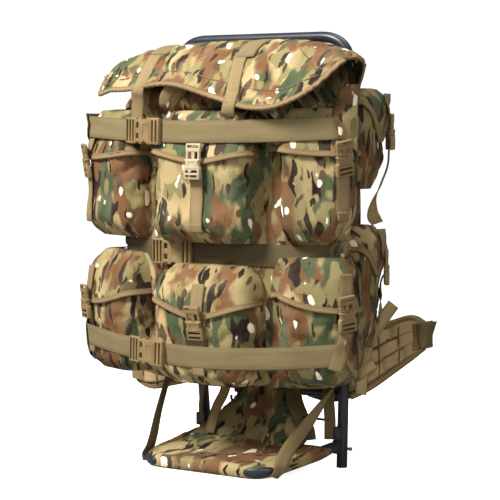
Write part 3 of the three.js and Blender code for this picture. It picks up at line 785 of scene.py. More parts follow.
def joined(name, pieces):
    """Several meshes made one piece."""
    only(pieces[0])
    for piece in pieces:
        piece.select_set(True)
    bpy.ops.object.join()
    whole = bpy.context.object
    whole.name = name
    whole.data.name = name
    return whole


# %% Hoop, cross tubes, lugs and pins
LOWER_CROSS = 128.0
UPPER_CROSS = 588.0
SHELF_HINGE = 38.0
LUG_WIDE, LUG_OUT, LUG_LOW, LUG_HIGH = 11.0, 22.0, 26.0, 50.0


def flat_box(name, wide, long, deep, middle, bevel, material):
    """A rounded box in millimetres round a point, in its own frame."""
    bpy.ops.object.select_all(action="DESELECT")
    bpy.ops.mesh.primitive_cube_add(size=1.0)
    piece = bpy.context.object
    piece.name = name
    bpy.ops.object.mode_set(mode="EDIT")
    bpy.ops.mesh.select_all(action="SELECT")
    bpy.ops.transform.resize(value=(wide * MM, long * MM, deep * MM))
    bpy.ops.transform.translate(value=tuple(v * MM for v in middle))
    bpy.ops.object.mode_set(mode="OBJECT")
    piece.data.materials.append(material)
    if bevel:
        finish_with(piece, "BEVEL", width=bevel * MM, segments=3)
    return piece


def block(name, low, high, bevel, material):
    """A box with rounded edges between two corners, in pack millimetres."""
    low, high = np.asarray(low, float), np.asarray(high, float)
    piece = flat_box(name, *(high - low), (low + high) / 2 + SHIFT, bevel, material)
    bpy.ops.object.shade_smooth_by_angle(angle=math.radians(40))
    return piece


def rod(name, start, end, radius, material, sides=20, bevel=0.6):
    """A short pin or bolt between two points, with softened ends."""
    start, end = Vector(to_part(start)), Vector(to_part(end))
    bpy.ops.object.select_all(action="DESELECT")
    bpy.ops.mesh.primitive_cylinder_add(vertices=sides, radius=radius * MM, depth=(end - start).length)
    piece = bpy.context.object
    piece.name = name
    turn = (end - start).to_track_quat("Z", "Y").to_matrix().to_4x4()
    piece.data.transform(Matrix.Translation((start + end) / 2) @ turn)
    piece.data.materials.append(material)
    finish_with(piece, "BEVEL", width=bevel * MM, segments=2, limit_method="ANGLE")
    bpy.ops.object.shade_smooth_by_angle(angle=math.radians(40))
    return piece


hoop_corners = [
    on_frame(-1, FLOOR_CLEARANCE),
    on_frame(-1, HEIGHT),
    on_frame(1, HEIGHT),
    on_frame(1, FLOOR_CLEARANCE),
]
frame_parts = [tube("frame_tubes", rounded_path(hoop_corners, BEND), TUBE, BLACK_PAINT)]
for z in (LOWER_CROSS, UPPER_CROSS):
    ends = np.array([on_frame(-1, z), on_frame(1, z)])
    frame_parts.append(tube("cross_tube", ends, CROSS, BLACK_PAINT))
for side in (-1, 1):
    middle = on_frame(side, SHELF_HINGE)[0] - side * 3
    low = (middle - LUG_WIDE / 2, -LUG_OUT, LUG_LOW)
    high = (middle + LUG_WIDE / 2, 0, LUG_HIGH)
    frame_parts.append(block("lug", low, high, 2.5, BLACK_PAINT))
frame_tubes = ride(joined("frame_tubes", frame_parts), "tube", "frame")
for side, name in SIDES:
    inner = on_frame(side, SHELF_HINGE) + np.array((side * TUBE * 0.7, 0, -4))
    outward = np.array((side, 0, 0))
    pin = rod("hinge_pin", inner, inner + outward * 9, 2.4, STEEL)
    ball = rod("ball", inner + outward * 8, inner + outward * 13, 3.6, STEEL, 20, 1.7)
    ride(joined(f"hinge_pin_{name}", [pin, ball]), "tube")
print("frame", len(frame_tubes.data.polygons), "faces")

# %% [markdown]
# ## The shelf
# The shelf is a bent tube in a cloth cover, like a pillowcase pulled over a bow. Seen from above the
# cover is a rounded trapezium. Its rim hugs the tube, and its two sides dip towards the middle. At
# each front corner an oval window is left, where the black tube shows.

# %% Shelf tube
GAP = 0.4
SLEEVE = TUBE + GAP + 2.0
SHELF_SHIFT = -17.0
SHELF_OUT = 186.0
SHELF_FRONT = 127.0
SHELF_BEND = 40.0
hinge_x = on_frame(1, SHELF_HINGE)[0] - 3


def shelf_end(side):
    return np.array((side * hinge_x, -LUG_OUT - GAP, SHELF_HINGE))


def shelf_corner(side):
    return np.array((SHELF_SHIFT + side * SHELF_FRONT, -SHELF_OUT, SLEEVE))


stub = np.array((0, -10, 0))
shelf_runs = [shelf_end(-1) + stub, shelf_corner(-1), shelf_corner(1), shelf_end(1) + stub]
shelf_path = np.vstack([shelf_end(-1), rounded_path(shelf_runs, SHELF_BEND, 12), shelf_end(1)])
ride(tube("shelf_bow", shelf_path, TUBE, BLACK_PAINT), "tube", "shelf_tube")

# %% Shelf cover
COVER_BACK = -38.0
COVER_POINTS = 150
COVER_AT = (0.31, 0.12)  # where the cover is cut from the print, in metres
COVER_RINGS = np.concatenate([np.linspace(0.04, 0.8, 16), np.linspace(0.83, 1.0, 14)])


def shelf_height(y):
    """Height of the shelf tube's centre at a distance in front of the legs."""
    share = np.clip((y + LUG_OUT) / (LUG_OUT - SHELF_OUT), 0, 1)
    return SHELF_HINGE + (SLEEVE - SHELF_HINGE) * share


plan = respaced(shelf_path[:, :2], 400)
plan = plan[plan[:, 1] < COVER_BACK]
out_of_plan = unit(np.stack([np.gradient(plan[:, 1]), -np.gradient(plan[:, 0])], 1))
rim = plan + out_of_plan * np.where(out_of_plan @ np.array([0, -1.0]) < -0.9, -1, 1)[:, None] * SLEEVE
if np.ptp(rim[:, 0]) < np.ptp(plan[:, 0]):
    rim = 2 * plan - rim
rim = respaced(rim, COVER_POINTS, closed=True)
centre = np.array((SHELF_SHIFT * 0.6, -118.0))


def rim_distance(points):
    return np.min(np.linalg.norm(points[:, None] - rim[None], axis=2), axis=1)


top_rings, low_rings = [], []
for share in COVER_RINGS:
    spot = centre + (rim - centre) * share
    inward = rim_distance(spot) if share < 1 else np.zeros(len(rim))
    near_back = np.clip((spot[:, 1] - COVER_BACK + 26) / 26, 0, 1)
    round_off = SLEEVE * (1 - 0.55 * near_back)
    rise = np.sqrt(np.maximum(0, 1 - (1 - np.minimum(1, inward / round_off)) ** 2)) * round_off
    dip = np.clip((inward - 14) / 60, 0, 1)
    crease = np.array([noise.noise(Vector((p[0] * 0.018, p[1] * 0.05, 3.0))) for p in spot])
    height = shelf_height(spot[:, 1])
    top = height + rise - 7.0 * dip + crease * 3.2 * np.clip(inward / 20, 0, 1)
    low = np.maximum(height - rise + 4.0 * dip, 0.3)
    top_rings.append(np.column_stack([spot, top]))
    low_rings.append(np.column_stack([spot, low]))
cover_rings = low_rings + top_rings[-2::-1]
shelf_cover = closed_loft("shelf_cloth", cover_rings, CAMOUFLAGE, COVER_AT)
steps = np.linalg.norm(np.diff(np.array(cover_rings), axis=0), axis=2)
reach = np.concatenate([np.zeros((1, COVER_POINTS)), np.cumsum(steps, 0)])
reach = np.minimum(reach, reach[-1] - reach)
bearing = unit(rim - centre)
flat_cover = (centre + bearing * reach[..., None]).reshape(-1, 2)
flat_cover = np.concatenate([flat_cover, [centre, centre]]) * MM * np.array((1, -1)) + np.array(COVER_AT)
lay_map(shelf_cover.data, flat_cover)
ride(shelf_cover, "camouflage", "shelf_cover")

# %% Windows at the shelf's front corners
WINDOW_LONG, WINDOW_TURN = 20.0, 0.62  # half its length along the tube, and half its turn round it


def corner_window(name, side, radius, grow, material):
    """An oval patch of the tube, seen through the cover at a front corner."""
    bend = rounded_path([shelf_end(side), shelf_corner(side), shelf_corner(-side)], SHELF_BEND, 40)[1:-1]
    bend = flowing(bend, 1.0)
    far = along(bend) - along(bend)[-1] * 0.58
    rings = []
    for lift, share in [(-2.5, 1.0), (0.0, 1.0), (0.7, 0.93), (0.9, 0.8), (0.9, 0.5), (0.9, 0.1)]:
        ring = []
        for turn in np.linspace(0, 2 * math.pi, 36, endpoint=False):
            s = math.copysign(abs(math.cos(turn)) ** 0.7, math.cos(turn)) * share * (WINDOW_LONG + grow)
            p = math.copysign(abs(math.sin(turn)) ** 0.8, math.sin(turn)) * share
            p *= WINDOW_TURN + grow / SLEEVE
            at = read_off(s, far, bend)
            ahead = read_off(s + 1, far, bend) - at
            outward = unit(np.cross(ahead, (0, 0, 1.0)))
            outward *= np.sign(outward @ (at - np.array((*centre, at[2]))))
            ring.append(at + (outward * math.cos(p) + np.array((0, 0, 1)) * math.sin(p)) * (radius + lift))
        rings.append(ring)
    return closed_loft(name, rings, material)


for side, name in SIDES:
    hem = corner_window(f"shelf_window_hem_{name}", side, SLEEVE + 0.1, 2.2, BLACK_PLASTIC)
    ride(hem, "tube")
    ride(corner_window(f"shelf_window_{name}", side, SLEEVE + 0.7, 0.0, BLACK_PAINT), "tube")
print("shelf cover", len(shelf_cover.data.polygons), "faces")

# %% [markdown]
# ## The main bag
# The bag is a tall soft box with an oval plan, closed below and open at the top. Its collar is
# gathered by a cord into small pleats. It is one surface, which runs up the outside, over the rim
# and down the inside.

# %% Ovals in plan
HANG = -8.0
CLOTH = 2.0


def swollen(value, power):
    return np.sign(value) * np.abs(value) ** (2 / power)


def oval(half, front, back, front_power, back_power, count):
    """A rounded box in plan, from the middle of its back, with evenly spaced points."""
    turns = np.linspace(0.5 * math.pi, 2.5 * math.pi, 1440, endpoint=False)
    power = np.where(np.sin(turns) < 0, front_power, back_power)
    xs = half * swollen(np.cos(turns), power)
    ys = (front + back) / 2 + (back - front) / 2 * swollen(np.sin(turns), power)
    return respaced(np.column_stack([xs, ys]), count, closed=True)


def drawn_in(ring, shares):
    """Smaller copies of a ring, drawn in to its middle."""
    middle = ring.mean(0)
    return [middle + (ring - middle) * s for s in shares]


# %% Bag
# Columns: height, half width, front
BAG_ROWS = np.array([
    (152, 188, -140),
    (170, 210, -157),
    (260, 220, -164),
    (400, 224, -168),
    (540, 221, -166),
    (606, 211, -174),
    (638, 198, -196),
    (656, 186, -190),
    (668, 180, -174),
    (692, 168, -150),
], float)
RIM = 692.0
GATHER = 604.0  # the collar's pleats start here
PLEATS = 46
BAG_COLUMNS = 240
bag_half = smooth_curve(BAG_ROWS[:, 0], BAG_ROWS[:, 1])
bag_front = smooth_curve(BAG_ROWS[:, 0], BAG_ROWS[:, 2])


def bag_ring(z, grow):
    back = on_frame(1, z)[1] - TUBE - 0.1 + grow - 0.5 * max(0.0, z - 660)
    plan = oval(bag_half(z) + grow, bag_front(z) - grow, back, 3.2, 8, BAG_COLUMNS)
    turn = np.linspace(0, 1, BAG_COLUMNS, endpoint=False)
    uneven = np.array([noise.noise(Vector((t * 9, 0, 1.5))) for t in turn])
    pleat = np.sin(2 * math.pi * (PLEATS * turn + 0.6 * uneven))
    depth = 4.5 * np.clip((z - GATHER) / (RIM - GATHER), 0, 1) * (0.55 + 0.45 * uneven)
    outward = unit(plan - plan.mean(0))
    ahead = np.clip((back - 14 - plan[:, 1]) / 20, 0, 1)
    plan = plan + outward * ((pleat - 0.6) * depth * ahead)[:, None]
    return np.column_stack([plan[:, 0] + HANG, plan[:, 1], np.full(BAG_COLUMNS, z)])


outer_levels = np.concatenate([np.linspace(152, 600, 56), np.linspace(606, RIM, 15)])
outer = [bag_ring(z, 0.0) for z in outer_levels]
bottom = drawn_in(outer[0], (0.06, 0.3, 0.6, 0.85, 0.96))
inner = [bag_ring(z, -CLOTH) for z in np.linspace(RIM - 1, 156, 24)]
inner_floor = drawn_in(inner[-1], (0.8, 0.4, 0.06))
bag = closed_loft("bag", [*bottom, *outer, *inner, *inner_floor], CAMOUFLAGE, (0.11, 0.42))
ride(bag, "camouflage", "main_bag")
shut = drawn_in(outer[-1], (0.5, 0.05))
outer_solid = closed_loft("bag_outside", [*bottom, *outer, *shut], CAMOUFLAGE)
bag_tree = tree_of(outer_solid)
bpy.data.objects.remove(outer_solid)
print("bag", len(bag.data.polygons), "faces")

# %% [markdown]
# ## Pockets and pouches
# Ten pouches are sewn to the bag, and each is a filled form with a flap, a strap and a buckle. The
# table gives their places. A pouch stands in its own frame, in which its front looks to -y, and is
# then turned and moved to its place. Its rows of points are bent so that one of them runs along the
# lower edge of the flap, and the flap is grown from the rows above it.

# %% Pocket table
Pocket = namedtuple(
    "Pocket", "name x y turn width depth low high strap edge rise buckle tail top tuck strapped"
)
POCKETS = [
    Pocket("upper_left", -210, -124, -21, 162, 64, 402, 620, -36, 536, 10, 532, 422, "square", 56, 592),
    Pocket("upper_centre", 7, -150, 0, 204, 76, 398, 618, 8, 530, 20, 534, 414, "square", 56, 587),
    Pocket("upper_right", 190, -120, 27, 148, 64, 404, 622, 44, 546, 8, 544, 436, "square", 56, 592),
    Pocket("lower_left", -210, -124, -21, 170, 66, 163, 372, -36, 280, 22, 281, 190, "dome", 56, 216),
    Pocket("lower_centre", 8, -150, 0, 210, 78, 156, 356, 8, 268, 30, 264, 172, "dome", 56, 206),
    Pocket("lower_right", 192, -120, 27, 150, 66, 168, 374, 48, 288, 24, 287, 196, "dome", 56, 216),
]
# Columns: row, low, high, depth, flap's edge and its rise, buckle, tail
SIDE_ROWS = [
    ("upper_side", 490, 654, 40, 568, 64, 584, 500),
    ("lower_side", 226, 424, 32, 344, 46, 356, 260),
]
SIDE_STRAP = 20.0  # a side strap lies this far behind the middle of its pouch
for row, low, high, depth, edge, rise, buckle, tail in SIDE_ROWS:
    for side, name in SIDES:
        POCKETS.append(
            Pocket(
                f"{row}_{name}", side * 220, -52, side * 90, 66, depth, low, high,
                side * SIDE_STRAP, edge, rise, buckle, tail, "slab", 10, None,
            )
        )
places = {pocket.name: pocket for pocket in POCKETS}
# Columns: share of the height, share of the width, share of the depth
PROFILES = {
    "square": [
        (0, 0.92, 0.68), (0.06, 0.98, 0.89), (0.35, 1, 1),
        (0.75, 0.98, 0.96), (0.94, 0.95, 0.82), (1, 0.9, 0.66),
    ],
    "slab": [
        (0, 0.8, 0.5), (0.1, 0.94, 0.68), (0.5, 1, 0.92),
        (0.8, 1, 1), (0.93, 0.92, 0.9), (1, 0.7, 0.6),
    ],
    "dome": [
        (0, 0.86, 0.68), (0.08, 0.97, 0.9), (0.4, 1, 1),
        (0.7, 0.99, 0.96), (0.9, 0.93, 0.8), (1, 0.78, 0.56),
    ],
}
# How far a pouch is drawn in at its left and right, and further at its lower corners, mm
DRAWN_IN = {
    "upper_left": (4, 5, 12, 2),
    "upper_centre": (3, 7, -6, 1),
    "upper_right": (12, 13, 4, 28),
    "lower_left": (0, 5, 8, 12),
    "lower_centre": (3, 8, 10, 12),
    "lower_right": (12, 11, 12, 18),
    "upper_side_left": (0, 0, 22, 0),
    "upper_side_right": (0, 0, 0, 22),
}
CORNER = 62.0  # height of a drawn lower corner, mm


def spun(points, degrees):
    """Points turned about the upright axis."""
    angle = math.radians(degrees)
    c, s = math.cos(angle), math.sin(angle)
    x, y, z = np.moveaxis(np.asarray(points, float), -1, 0)
    return np.stack([x * c - y * s, x * s + y * c, z], -1)


def turned(pocket, local):
    """From a pocket's own frame to the pack's, for directions."""
    return spun(local, pocket.turn)


def placed(pocket, local):
    return turned(pocket, local) + np.array((HANG + pocket.x, pocket.y, 0))


def unplaced(pocket, points):
    return spun(points - np.array((HANG + pocket.x, pocket.y, 0)), -pocket.turn)


# %% Pouch forms
POUCH_COLUMNS = 112
LOW_ROWS, HIGH_ROWS = 24, 18
CAP = (0.94, 0.82, 0.6, 0.3, 0.06)
SQUEEZE = 2.5  # how far a compression strap presses in
TUCKED = 56  # how far the front pockets reach back into the bag's side


def pouch_grid(pocket):
    """Rows of points over a pouch, in its own frame, and the place of the flap's row."""
    half = pocket.width / 2
    base = oval(half, -pocket.depth, pocket.tuck, 5.5, 8, POUCH_COLUMNS)
    if pocket.tuck == TUCKED and "centre" not in pocket.name:
        rounder = oval(half, -pocket.depth, pocket.tuck, 3.0, 8, POUCH_COLUMNS)
        outer_half = base[:, :1] * pocket.x > 0
        base = np.where(outer_half, rounder, base)
    bx = base[:, 0] / half
    by = (base[:, 1] - (pocket.tuck - pocket.depth) / 2) / ((pocket.tuck + pocket.depth) / 2)
    left, right, left_low, right_low = DRAWN_IN.get(pocket.name, (0, 0, 0, 0))
    profile = np.array(PROFILES[pocket.top])
    width, depth = (smooth_curve(profile[:, 0], profile[:, k]) for k in (1, 2))
    bow = 1.2 if "centre" in pocket.name or "side" in pocket.name else 2.0
    lowest = 0.0 if "side" in pocket.name else 0.9 * pocket.strap / half
    edge = pocket.edge + pocket.rise * (np.abs(bx - lowest) / (1 + abs(lowest))) ** bow
    levels = [pocket.low + (edge - pocket.low) * s for s in np.linspace(0, 1, LOW_ROWS)]
    levels += [edge + (pocket.high - edge) * s for s in np.linspace(0, 1, HIGH_ROWS)[1:]]
    rows = []
    for z in levels:
        t = (z - pocket.low) / (pocket.high - pocket.low)
        reach = pocket.depth * depth(t)
        if pocket.strapped:
            reach = reach - SQUEEZE * np.exp(-(((z - pocket.strapped) / 22.0) ** 2))
        middle, deep = (pocket.tuck - reach) / 2, (pocket.tuck + reach) / 2
        foot = np.clip(1 - (z - pocket.low) / CORNER, 0, 1) ** 2
        pull = np.where(bx > 0, right + right_low * foot, left + left_low * foot)
        rows.append(np.column_stack([half * width(t) * bx - pull * bx * np.abs(bx), middle + deep * by, z]))
    first = drawn_in(rows[0], CAP[::-1])
    last = [ring + np.array((0, 0, 4 * (1 - s))) for ring, s in zip(drawn_in(rows[-1], CAP), CAP)]
    return np.array([*first, *rows, *last]), len(first) + LOW_ROWS - 1


def seams_of(pocket, grid):
    """1 where a pouch is held by a seam or a strap, and 0 where it is free."""
    local = grid.reshape(-1, 3)
    ends = np.minimum(local[:, 2] - pocket.low, pocket.high - local[:, 2])
    held = 1 - np.clip(ends / 14, 0, 1)
    held = np.maximum(held, np.clip((local[:, 1] - 4) / 12, 0, 1))
    if pocket.strapped:
        near = np.abs(local[:, 2] - pocket.strapped)
        held = np.maximum(held, 1 - np.clip((near - 18) / 10, 0, 1))
    return np.append(held, (1.0, 1.0))


CREASE = 3.4  # depth of the creases in filled cloth, mm


def creased(points, held, seed):
    """Points of a filled cloth moved in along soft creases, which run up and down and aslant."""
    inward = unit(points.mean((0, 1)) * np.array((1, 1, 0)) - points * np.array((1, 1, 0)))
    depths = []
    for p in points.reshape(-1, 3):
        across = (p[0] + p[1]) * 0.03
        slow = noise.noise(Vector((across, p[2] * 0.012, seed * 7.3)))
        fine = noise.noise(Vector((across * 1.6 + p[2] * 0.024, p[2] * 0.02 - across, seed * 3.1)))
        depths.append(max(0.0, 0.55 - abs(slow) * 2.4) + max(0.0, 0.5 - abs(fine) * 2.6) * 0.7)
    free = (1 - held[:-2]).reshape(points.shape[:2])
    return points + inward * (np.array(depths).reshape(points.shape[:2]) * free * CREASE)[..., None]


def make_pouch(pocket, number):
    grid, edge_row = pouch_grid(pocket)
    held = seams_of(pocket, grid)
    points = kept_outside(placed(pocket, grid).reshape(-1, 3), bag_tree, 1.0).reshape(grid.shape)
    at = (0.37 * number, 0.53 * number)
    pouch = closed_loft(f"{pocket.name}_pouch_cloth", points, CAMOUFLAGE, at)
    settle(pouch, held, 0.035, 2.5, 5.0, number)
    dressed = points_of(pouch)
    swelled = dressed[:-2].reshape(grid.shape)
    folded = creased(swelled, held, number)
    dressed = np.concatenate([folded.reshape(-1, 3), dressed[-2:]])
    move_points(pouch, kept_outside(dressed, bag_tree, 1.0))
    moved = np.stack([evened(row, 6) for row in swelled - points])
    return pouch, points + moved, edge_row


# %% Flaps
FLAP_LIFT = 2.5
# How far back a flap reaches round the sides. The centre ones end at their corners or at the bag.
FLAP_SIDE = 6.0
FLAP_SIDES = {"upper_centre": -46.0, "lower_centre": -20.0}
FLAP_THICK = 1.8
# How far a flap's lower edge stands off the pouch in its middle and at its corners
FLARES = {"upper_centre": (1.0, 9.0), "upper_right": (2.0, 5.0), "upper_left": (1.0, 4.0)}


def flap_grid(pocket, grid, edge_row):
    """The rows above the flap's edge, without the back, moved outwards."""
    local = unplaced(pocket, grid)
    front = local[edge_row, :, 1] < FLAP_SIDES.get(pocket.name, FLAP_SIDE)
    first, last = np.flatnonzero(front)[[0, -1]]
    part = grid[edge_row : len(grid) - 2, first : last + 1]
    normals = grid_normals(part)
    facing = turned(pocket, np.array((0, -1.0, 0)))
    normals *= np.sign((normals[2, normals.shape[1] // 2] * facing).sum())
    middle, corner = FLARES.get(pocket.name, (0.8, 3.0))
    place = np.abs(unplaced(pocket, part)[..., 0]) / (pocket.width / 2)
    low = np.exp(-np.arange(len(part)) / 2.6)[:, None]
    flare = low * (middle + corner * np.clip(place, 0, 1) ** 5)
    return part + normals * (FLAP_LIFT + flare)[..., None]


def make_flap(pocket, grid, edge_row, number):
    part = flap_grid(pocket, grid, edge_row)
    at = (0.29 * number + 0.4, 0.61 * number)
    flap = shell(f"{pocket.name}_flap_cloth", part, FLAP_THICK, CAMOUFLAGE, at)
    tape = bound_edge(f"{pocket.name}_flap_tape", part[0], part[3] - part[0], 3.6)
    return flap, tape


pouches, flaps, tapes = {}, {}, {}
for number, pocket in enumerate(POCKETS, 1):
    pouch, grid, edge_row = make_pouch(pocket, number)
    flap, tape = make_flap(pocket, grid, edge_row, number)
    pouches[pocket.name], flaps[pocket.name], tapes[pocket.name] = pouch, flap, tape
    kind = "pouch" if "side" in pocket.name else "pocket"
    ride(pouch, "camouflage", f"{pocket.name}_{kind}")
    ride(flap, "camouflage", f"{pocket.name}_flap")
    ride(tape, "webbing")
print("pouches", len(pouches))

# %% [markdown]
# ## Buckles
# Two buckles are modelled once, lying flat at the origin, and copied to their places. Each begins as
# a box. Bars are left between slots that are cut out of it, and the clip's two prongs show in the
# notches at its sides. The wide one closes the compression straps and the narrow one the pockets.

# %% Tools for the buckles


def cut_out(piece, cutter):
    """Takes one solid out of another."""
    finish_with(piece, "BOOLEAN", operation="DIFFERENCE", solver="EXACT", object=cutter)
    bpy.data.objects.remove(cutter)


def drum(name, radius, deep, middle, material):
    bpy.ops.object.select_all(action="DESELECT")
    at = tuple(v * MM for v in middle)
    bpy.ops.mesh.primitive_cylinder_add(vertices=36, radius=radius * MM, depth=deep * MM, location=at)
    piece = bpy.context.object
    piece.name = name
    bpy.ops.object.transform_apply(location=True, rotation=True, scale=True)
    piece.data.materials.append(material)
    return piece


def softened(piece, bevel):
    finish_with(piece, "BEVEL", width=bevel * MM, segments=2, limit_method="ANGLE", angle_limit=0.6)
    bpy.ops.object.shade_smooth_by_angle(angle=math.radians(35))
    return piece


# %% The narrow buckle


def narrow_buckle(name, material):
    """34 by 62 mm, with the strap along y and the face to +z."""
    socket = flat_box(name, 33, 35, 9.0, (0, -13, 4.6), 2.4, material)
    tongue = flat_box("tongue", 31, 15, 6.4, (0, 23, 4.2), 2.0, material)
    for slot in (-17.0, -25.0):
        cut_out(socket, flat_box("slot", 25, 4.4, 30, (0, slot, 4), 0, material))
    cut_out(socket, flat_box("recess", 15, 9, 3, (0, -5.0, 9.6), 0, material))
    for side in (-1, 1):
        cut_out(socket, drum("notch", 6.8, 30, (side * 19.0, -3.0, 4), material))
    cut_out(socket, drum("scoop", 6.0, 30, (0, 8.5, 4), material))
    cut_out(tongue, flat_box("slot", 24, 4.4, 30, (0, 25, 4), 0, material))
    stem = flat_box("stem", 7, 24, 4.0, (0, 9.0, 4.2), 1.4, material)
    prongs = [flat_box("prong", 4.8, 27, 5.6, (side * 12.0, 6.0, 4.4), 2.0, material) for side in (-1, 1)]
    rib = flat_box("rib", 22, 1.6, 1.8, (0, -11.5, 9.0), 0.6, material)
    parts = [softened(part, 0.5) for part in (socket, tongue)]
    return joined(name, [*parts, stem, rib, *prongs])


# %% The wide buckle


def wide_buckle(name, material):
    """46 by 88 mm, with the strap along y and the face to +z."""
    socket = flat_box(name, 46, 53, 9.6, (0, -17.5, 5), 2.8, material)
    tongue = flat_box("tongue", 45, 27, 7.6, (0, 30.5, 4.6), 2.4, material)
    for slot in (-28.0, -37.5):
        cut_out(socket, flat_box("slot", 37.5, 5.0, 30, (0, slot, 4), 0, material))
    for slot in (24.0, 31.5, 39.0):
        cut_out(tongue, flat_box("slot", 37.5, 4.2, 30, (0, slot, 4), 0, material))
    cut_out(socket, flat_box("recess", 22, 14, 3, (0, -10, 10.4), 0, material))
    for side in (-1, 1):
        cut_out(socket, drum("notch", 8.0, 30, (side * 25.5, -6.0, 4), material))
    cut_out(socket, drum("scoop", 7.0, 30, (0, 12.0, 4), material))
    stem = flat_box("stem", 10, 30, 4.6, (0, 8.0, 4.6), 1.6, material)
    prongs = [flat_box("prong", 6.4, 36, 6.4, (side * 16.6, 4.0, 4.8), 2.4, material) for side in (-1, 1)]
    ribs = [flat_box("rib", 30, 1.6, 1.8, (0, at, 9.6), 0.6, material) for at in (-19.5, -22.5)]
    parts = [softened(part, 0.6) for part in (socket, tongue)]
    return joined(name, [*parts, stem, *ribs, *prongs])


NARROW_MODEL = narrow_buckle("narrow_model", TAN_PLASTIC)
WIDE_MODEL = wide_buckle("wide_model", TAN_PLASTIC)


def clipped(name, model, at, out, up, material=None):
    """A copy of a buckle at a place, its face along out and its length along up."""
    out, up = unit(np.asarray(out, float)), unit(np.asarray(up, float))
    across = unit(np.cross(up, out))
    up = np.cross(out, across)
    turn = Matrix((across, up, out)).transposed().to_4x4()
    piece = model.copy()
    piece.data = model.data.copy()
    piece.name = piece.data.name = name
    piece.data.transform(Matrix.Translation(Vector(to_part(at))) @ turn)
    if material:
        piece.data.materials.clear()
        piece.data.materials.append(material)
    bpy.context.scene.collection.objects.link(piece)
    return ride(piece, "plastic")


print("buckles", len(NARROW_MODEL.data.polygons), len(WIDE_MODEL.data.polygons), "faces")

# %% [markdown]
# ## Pocket straps
# A strap falls over the flap and down the pouch. Rays are sent at the pouch from in front, at three
# places over the strap's width and every few millimetres down, and the strap is laid on what they hit.

# %% Straps laid on pouches
WEB = 1.8
FALL = 4.0  # distance between the rows of a strap


def hit(pocket, tree, x, z):
    """The pouch's surface in front of a point, in its own frame."""
    start = Vector(to_part(placed(pocket, np.array((x, -200.0, z)))))
    ahead = Vector(turned(pocket, np.array((0, 1.0, 0))))
    found = tree.ray_cast(start, ahead)[0]
    if found is None:
        return None
    return unplaced(pocket, np.array(found) / MM - SHIFT)[1]


def steady(values, reach):
    """A line that keeps to the outermost of its neighbours, then is smoothed."""
    padded = np.pad(values, reach, mode="edge")
    windows = np.lib.stride_tricks.sliding_window_view(padded, 2 * reach + 1)
    outermost = np.pad(windows.min(1), reach, mode="edge")
    return np.lib.stride_tricks.sliding_window_view(outermost, 2 * reach + 1).mean(1)


def strap_line(pocket, tree, high, low, lift, width=NARROW):
    """The strap's middle line and the direction across it, in pack millimetres."""
    levels = np.arange(high, low, -FALL)
    reached, slopes = [], []
    for z in levels:
        hits = [hit(pocket, tree, pocket.strap + dx, z) for dx in (-width / 2, 0, width / 2)]
        known = [h for h in hits if h is not None]
        middle = min(known) if known else (reached[-1] if reached else -pocket.depth)
        ends = hits[2] - hits[0] if None not in (hits[0], hits[2]) else 0.0
        if None not in hits:
            middle = min(hits[1], (hits[0] + hits[2]) / 2)
        reached.append(middle)
        slopes.append(ends / width)
    ys = steady(np.array(reached), 2) - lift
    slope = smoothed(slopes, 3)
    line = placed(pocket, np.column_stack([np.full(len(levels), pocket.strap), ys, levels]))
    across = turned(pocket, np.column_stack([np.ones(len(levels)), slope, np.zeros(len(levels))]))
    return line, across


def at_height(line, across, z):
    """Place, outward direction and upward direction on a falling strap."""
    k = int(np.argmin(np.abs(line[:, 2] - z)))
    k = min(max(k, 1), len(line) - 2)
    up = unit(line[k - 1] - line[k + 1])
    out = unit(np.cross(unit(across[k]), up))
    return line[k], out, up, k


# A free strap end's run from the buckle's foot: outwards, y and height
HANGING = [(0, 0, 0), (4, -11, -28), (4, -31, -58), (1, -49, -92), (2, -52, -112), (5, -44, -124)]
HANGING_WIDE = 22.0
UNDER_BUCKLE = 5  # rows of a strap hidden under the buckle's bars


def hanging_end(side, foot):
    """A strap end that hangs free and turns its face outwards at its tip."""
    line = flowing(np.array(HANGING) * np.array((side, 1, 1)) + foot, 3.0)
    share = np.clip(along(line) / along(line)[-1] * 2 - 1, 0, 1)[:, None] ** 1.5
    across = np.array((-0.59 * side, 0.81, 0)) * (1 - share) + np.array((0.9 * side, 0.45, -0.25)) * share
    return ribbon("hanging_run", line, across, HANGING_WIDE, WEB, NARROW_WEBBING, 0.1)


for pocket in POCKETS:
    tree = tree_of(flaps[pocket.name], pouches[pocket.name], tapes[pocket.name])
    start = pocket.high - 10 if pocket.top == "square" else pocket.buckle + 66
    line, across = strap_line(pocket, tree, start, pocket.tail, WEB / 2 + 0.5)
    at, out, up, k = at_height(line, across, pocket.buckle)
    side = "side" in pocket.name
    if side:
        out = unit(out * np.array((1, 1, 0)))
        at, up = at - out * 3, np.array((0, 0, 1.0))
    above, below = slice(k - UNDER_BUCKLE + 2), slice(k + UNDER_BUCKLE - 1, None)
    parts = [ribbon("upper_run", line[above], across[above], NARROW, WEB, NARROW_WEBBING)]
    if "upper_side" in pocket.name:
        parts.append(hanging_end(np.sign(pocket.x), at - up * 28 + out * 3))
    else:
        parts += [
            ribbon("lower_run", line[below], across[below], NARROW, WEB, NARROW_WEBBING, 0.1),
            ribbon("hem", line[-5:] + out * 1.5, across[-5:], NARROW - 1, WEB, NARROW_WEBBING, 0.3),
        ]
    strap = joined(f"{pocket.name}_webbing", parts)
    material = PALE_PLASTIC if pocket.name == "upper_centre" else None
    buckle = clipped(f"{pocket.name}_clip", NARROW_MODEL, at + out * 0.4, out, up, material)
    if side:
        ride(strap, "webbing", f"{pocket.name}_fastener")
    else:
        ride(strap, "webbing", f"{pocket.name}_strap")
        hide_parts(f"{pocket.name}_buckle")
print("straps laid", len(POCKETS))

# %% [markdown]
# ## Compression straps
# Three wide straps hold the load together. The upper and lower ones pass over the pockets, so each
# follows the tightest loop round everything at its height. The middle one lies on the bag itself.

# %% Tightest loops
SIDE_ANCHOR = -92.0


